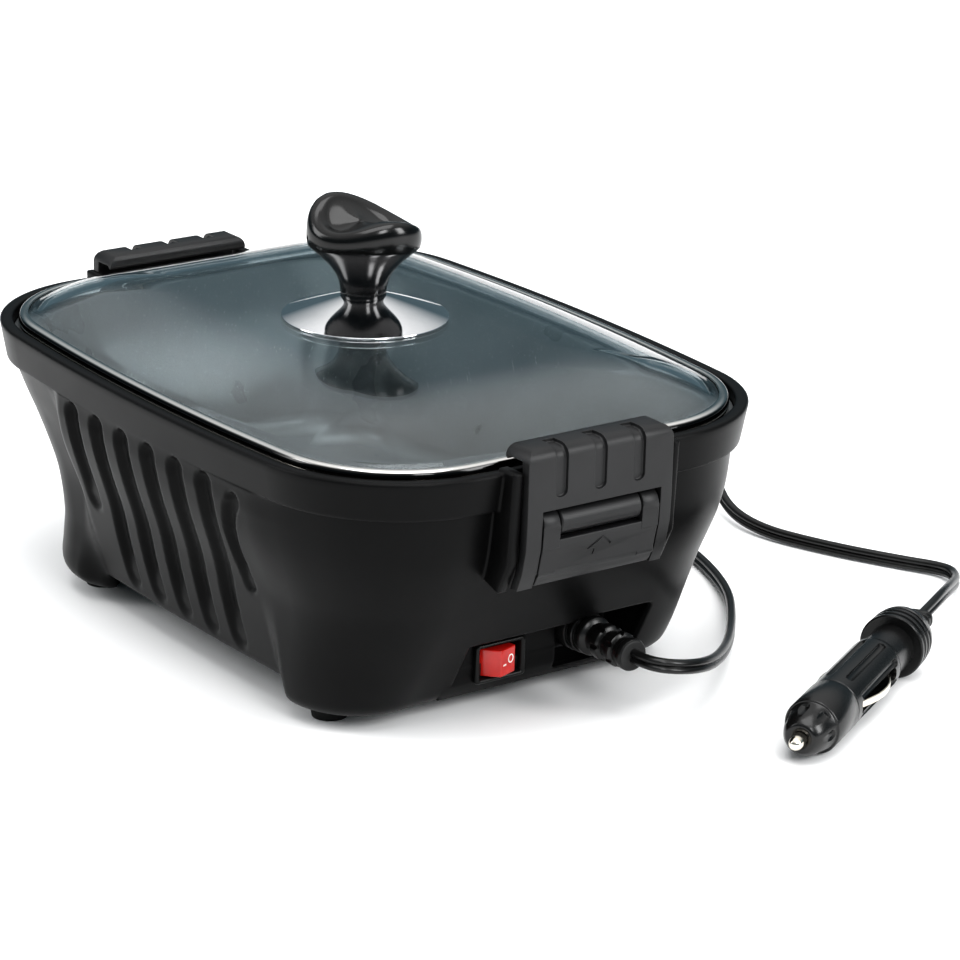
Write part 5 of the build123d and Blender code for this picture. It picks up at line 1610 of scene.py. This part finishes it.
@dataclass
class PlugSet:
    """Vehicle plug, made along X from its tip and laid in its place; sizes in millimetres.

    groove and notch are the radius that their middles stand at, their start, end and half width.
    """

    tip: Point
    direction: Point
    upright: Point = (0.0125, -0.0225, 1.0)
    groove_count: int = 8
    groove: tuple[float, ...] = (10.5, 43.0, 79.5, 1.6)
    notch_count: int = 7
    notch: tuple[float, ...] = (10.4, 5.6, 17.4, 2.7)
    slot_span: Pair = (42.0, 77.0)
    slot_depths: Pair = (5.4, 13.0)
    slot_half: float = 2.45
    leaf_half: float = 1.3
    leaf_gauge: float = 0.8
    ring_count: int = 3
    ring_pitch: float = 3.4
    back: float = 99.5
    relief_from: float = 114.0
    relief_to: float = 132.0
    rib_count: int = 6

    def laid(self, piece: Piece) -> Piece:
        """Moves a piece from the X axis to the plug's place."""
        x = Vector(self.direction).normalized()
        z = Vector(self.upright)
        z = (z - z.dot(x) * x).normalized()
        y = z.cross(x)
        turn = Matrix((x, y, z)).transposed().to_4x4()
        Bench.move(piece, Matrix.Translation(Vector(self.tip) * MM) @ turn)
        return piece

    def ringed(self, piece: Piece, count: int, radius: float, low: float, high: float, size: float) -> Piece:
        """Cuts round-ended grooves along the axis, spaced evenly round a piece, and returns it."""
        ends = [(low, size * 0.2), (low + size * 0.35, size * 0.8), (low + size, size)]
        ends += [(high - size, size), (high - size * 0.35, size * 0.8), (high, size * 0.2)]
        Bench.carve(piece, ends, (0, 0, 0), radius, count, 0.5)
        return piece

    def nose(self) -> Piece:
        """Returns the screw cap with its notched nose."""
        profile = [
            (7.2, 2.85), (6.5, 4.2), (6.6, 5.2), (7.2, 5.9), (9.0, 7.2), (13.0, 8.6), (17.7, 9.35), (18.0, 9.6),
            (18.1, 10.1), (18.6, 10.4), (37.4, 10.4), (38.0, 10.1), (38.0, 7.25), (20.0, 7.25), (20.0, 2.85),
        ]
        piece = Bench.turned("plug_nose", profile, Axis.X, steps=96, closed=True)
        return self.laid(self.ringed(piece, self.notch_count, *self.notch))

    def body(self) -> Piece:
        """Returns the barrel with its long grooves and contact slots."""
        profile = [
            (28.0, 3.5), (28.0, 7.18), (38.05, 7.18), (38.05, 9.7), (38.5, 10.2), (80.5, 10.2), (82.0, 10.0),
            (82.7, 9.4), (83.2, 8.9), (84.0, 8.8), (99.5, 8.8), (99.5, 3.5), (98.0, 3.5), (98.0, 0.4), (64.5, 0.4),
            (64.5, 3.5),
        ]
        piece = Bench.turned("plug_body", profile, Axis.X, steps=96, closed=True)
        self.ringed(piece, self.groove_count, *self.groove)
        for side in (-1, 1):
            low, high = sorted(side * depth for depth in self.slot_depths)
            start, end = self.slot_span
            slot = Bench.block("slot", (start, low, -self.slot_half), (end, high, self.slot_half))
            Bench.soften(slot, 1.4, 4, 60)
            Bench.combine(piece, [slot], "DIFFERENCE")
        return self.laid(piece)

    def centre_tip(self) -> Piece:
        """Returns the sprung centre contact."""
        profile = [
            (0.0, 0.3), (0.15, 0.95), (0.5, 1.55), (1.0, 2.0), (1.7, 2.35), (2.6, 2.6), (3.4, 2.7), (20.3, 2.7),
            (20.3, 4.3), (22.0, 4.3),
        ]
        return self.laid(Bench.turned("plug_centre_tip", profile, Axis.X, steps=48))

    def leaf(self, side: int) -> Piece:
        """Returns one bowed side contact."""
        path = [(43.0, 8.0), (46.0, 9.4), (50.0, 10.9), (54.0, 12.0), (58.0, 12.55), (62.0, 12.5), (66.0, 11.9)]
        path += [(70.0, 10.5), (74.0, 8.6)]
        outline = [(s, side * r) for s, r in path]
        outline += [(s, side * (r - self.leaf_gauge)) for s, r in reversed(path)]
        name = "plug_leaf_left" if side > 0 else "plug_leaf_right"
        piece = Bench.prism(name, outline, Axis.Z, -self.leaf_half, self.leaf_half)
        Bench.soften(piece, 0.25, 2, 50)
        return self.laid(piece)

    def flange(self) -> Piece:
        """Returns the three-ringed flange."""
        profile = [(self.back, 8.0)]
        for index in range(self.ring_count):
            low = self.back + index * self.ring_pitch
            radius = 12.4 - index * 0.1
            profile += [(low, radius - 0.5), (low + 0.4, radius), (low + 1.6, radius), (low + 2.0, radius - 0.5)]
            profile += [(low + 2.1, 10.6), (low + 3.3, 10.6)]
        profile += [(109.8, 11.6), (110.3, 11.9), (112.6, 11.4), (113.6, 10.2), (114.0, 8.4)]
        return self.laid(Bench.turned("plug_rings", profile, Axis.X, steps=80))

    def relief(self) -> Piece:
        """Returns the ribbed strain relief."""
        rings = []
        pitch = (self.relief_to - self.relief_from) / self.rib_count
        for index in range(self.rib_count):
            low = self.relief_from + index * pitch
            shrink = index * 0.16
            core = rounded(4.6 - shrink * 0.5, 3.2 - shrink * 0.3, 2.4)
            rib = rounded(5.9 - shrink, 4.2 - shrink, 2.8)
            crest = rounded(5.6 - shrink, 3.9 - shrink, 2.7)
            for x, outline in (
                (low, core), (low + 0.45, core), (low + 0.6, crest), (low + 0.9, rib), (low + 2.0, rib),
                (low + 2.3, crest), (low + 2.45, core),
            ):
                rings.append([Vector((x, a, b)) * MM for a, b in outline])
        rings.append([Vector((self.relief_to, a, b)) * MM for a, b in rounded(4.0, 2.8, 2.4)])
        return self.laid(Bench.stack("plug_sleeve", rings))

    def build(self, finishes: Finishes) -> list[Piece]:
        """Builds and dresses the plug and returns its pieces."""
        return [
            finished(self.nose(), finishes.plug, "base", "plug_cap"),
            finished(self.body(), finishes.plug, "base", "plug_barrel"),
            finished(self.centre_tip(), finishes.nickel, "plug_tip", "plug_tip"),
            finished(self.leaf(1), finishes.nickel, "plug_contact_left", "plug_contact_left", angle=40),
            finished(self.leaf(-1), finishes.nickel, "plug_contact_right", "plug_contact_right", angle=40),
            finished(self.flange(), finishes.plug, "base", "plug_flange"),
            finished(self.relief(), finishes.connector, "base", "plug_relief"),
        ]


@dataclass
class PanSet:
    """Pressed pan with its flange; sizes in millimetres.

    low, foot and mouth are a height with the pan's half length, half width, corner and bow there.
    """

    thickness: float = 1.8
    flange_low: float = 99.5
    flange_top: float = 100.7
    flange_inset: float = 5.3
    mouth_inset: float = 0.4
    mouth_rise: float = 0.1
    foot_rise: float = 1.2
    steps: int = 10
    low: tuple[float, ...] = (38.0, 96.0, 60.0, 24.0, 3.0)
    foot: tuple[float, ...] = (48.0, 103.5, 67.5, 29.0, 4.0)
    mouth: tuple[float, ...] = (99.5, 126.0, 90.0, 42.0, 9.2)

    def level(self, z: float, half_x: float, half_y: float, corner: float, bow: float, inset: float) -> Ring:
        """Ring of the pan's own outline at a height."""
        return Outline(half_x - inset, half_y - inset, corner - inset, bow).ring(0, z)

    def side(self, low_rise: float, foot_rise: float, mouth_rise: float, inset: float) -> list[Ring]:
        """Rings from the floor round the bend and up to the mouth.

        Args:
            low_rise: how far the floor stands above the outer one.
            foot_rise: the same for the top of the bend.
            mouth_rise: the same for the mouth.
            inset: distance inward from the outer skin.

        Returns:
            The rings, from the floor up.
        """
        bottom, top = self.low[0] + low_rise, self.foot[0] + foot_rise
        rings = []
        for step in range(self.steps + 1):
            angle = math.pi / 2 * step / self.steps
            mix = [a + (b - a) * math.sin(angle) for a, b in zip(self.low[1:], self.foot[1:])]
            rings.append(self.level(bottom + (top - bottom) * (1 - math.cos(angle)), *mix, inset))
        return rings + [self.level(self.mouth[0] + mouth_rise, *self.mouth[1:], inset)]

    def build(self, finishes: Finishes) -> None:
        """Builds and dresses the pan."""
        collar = Outline()
        flange = [collar.ring(self.flange_inset, z) for z in (self.flange_low, self.flange_top)]
        flange.append(self.level(self.flange_top, *self.mouth[1:], self.mouth_inset))
        inner = self.side(self.thickness, self.foot_rise, self.mouth_rise, self.thickness)
        piece = Bench.stack("cooking_pan", self.side(0.0, 0.0, 0.0, 0.0) + flange + inner[::-1])
        finished(piece, finishes.pan, "base", "pan", angle=40)


def main() -> None:
    """Builds the roaster piece by piece."""
    logging.basicConfig(level=logging.INFO)
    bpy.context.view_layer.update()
    finishes = Finishes()
    finishes.dress_frame()
    studio = Studio()
    studio.camera()
    studio.build()
    cords = CordSet()
    cord = cords.build(finishes)
    HousingSet(Outline()).build(finishes)
    LidSet(Outline()).build(finishes)
    KnobSet().build(finishes)
    LatchSet().build(finishes)
    SwitchSet().build(finishes)
    PanSet().build(finishes)
    on_cord = ConnectorSet().build(finishes)
    on_cord += PlugSet(cords.plug_tip, cords.plug_direction).build(finishes)


if __name__ == "__main__":
    main()
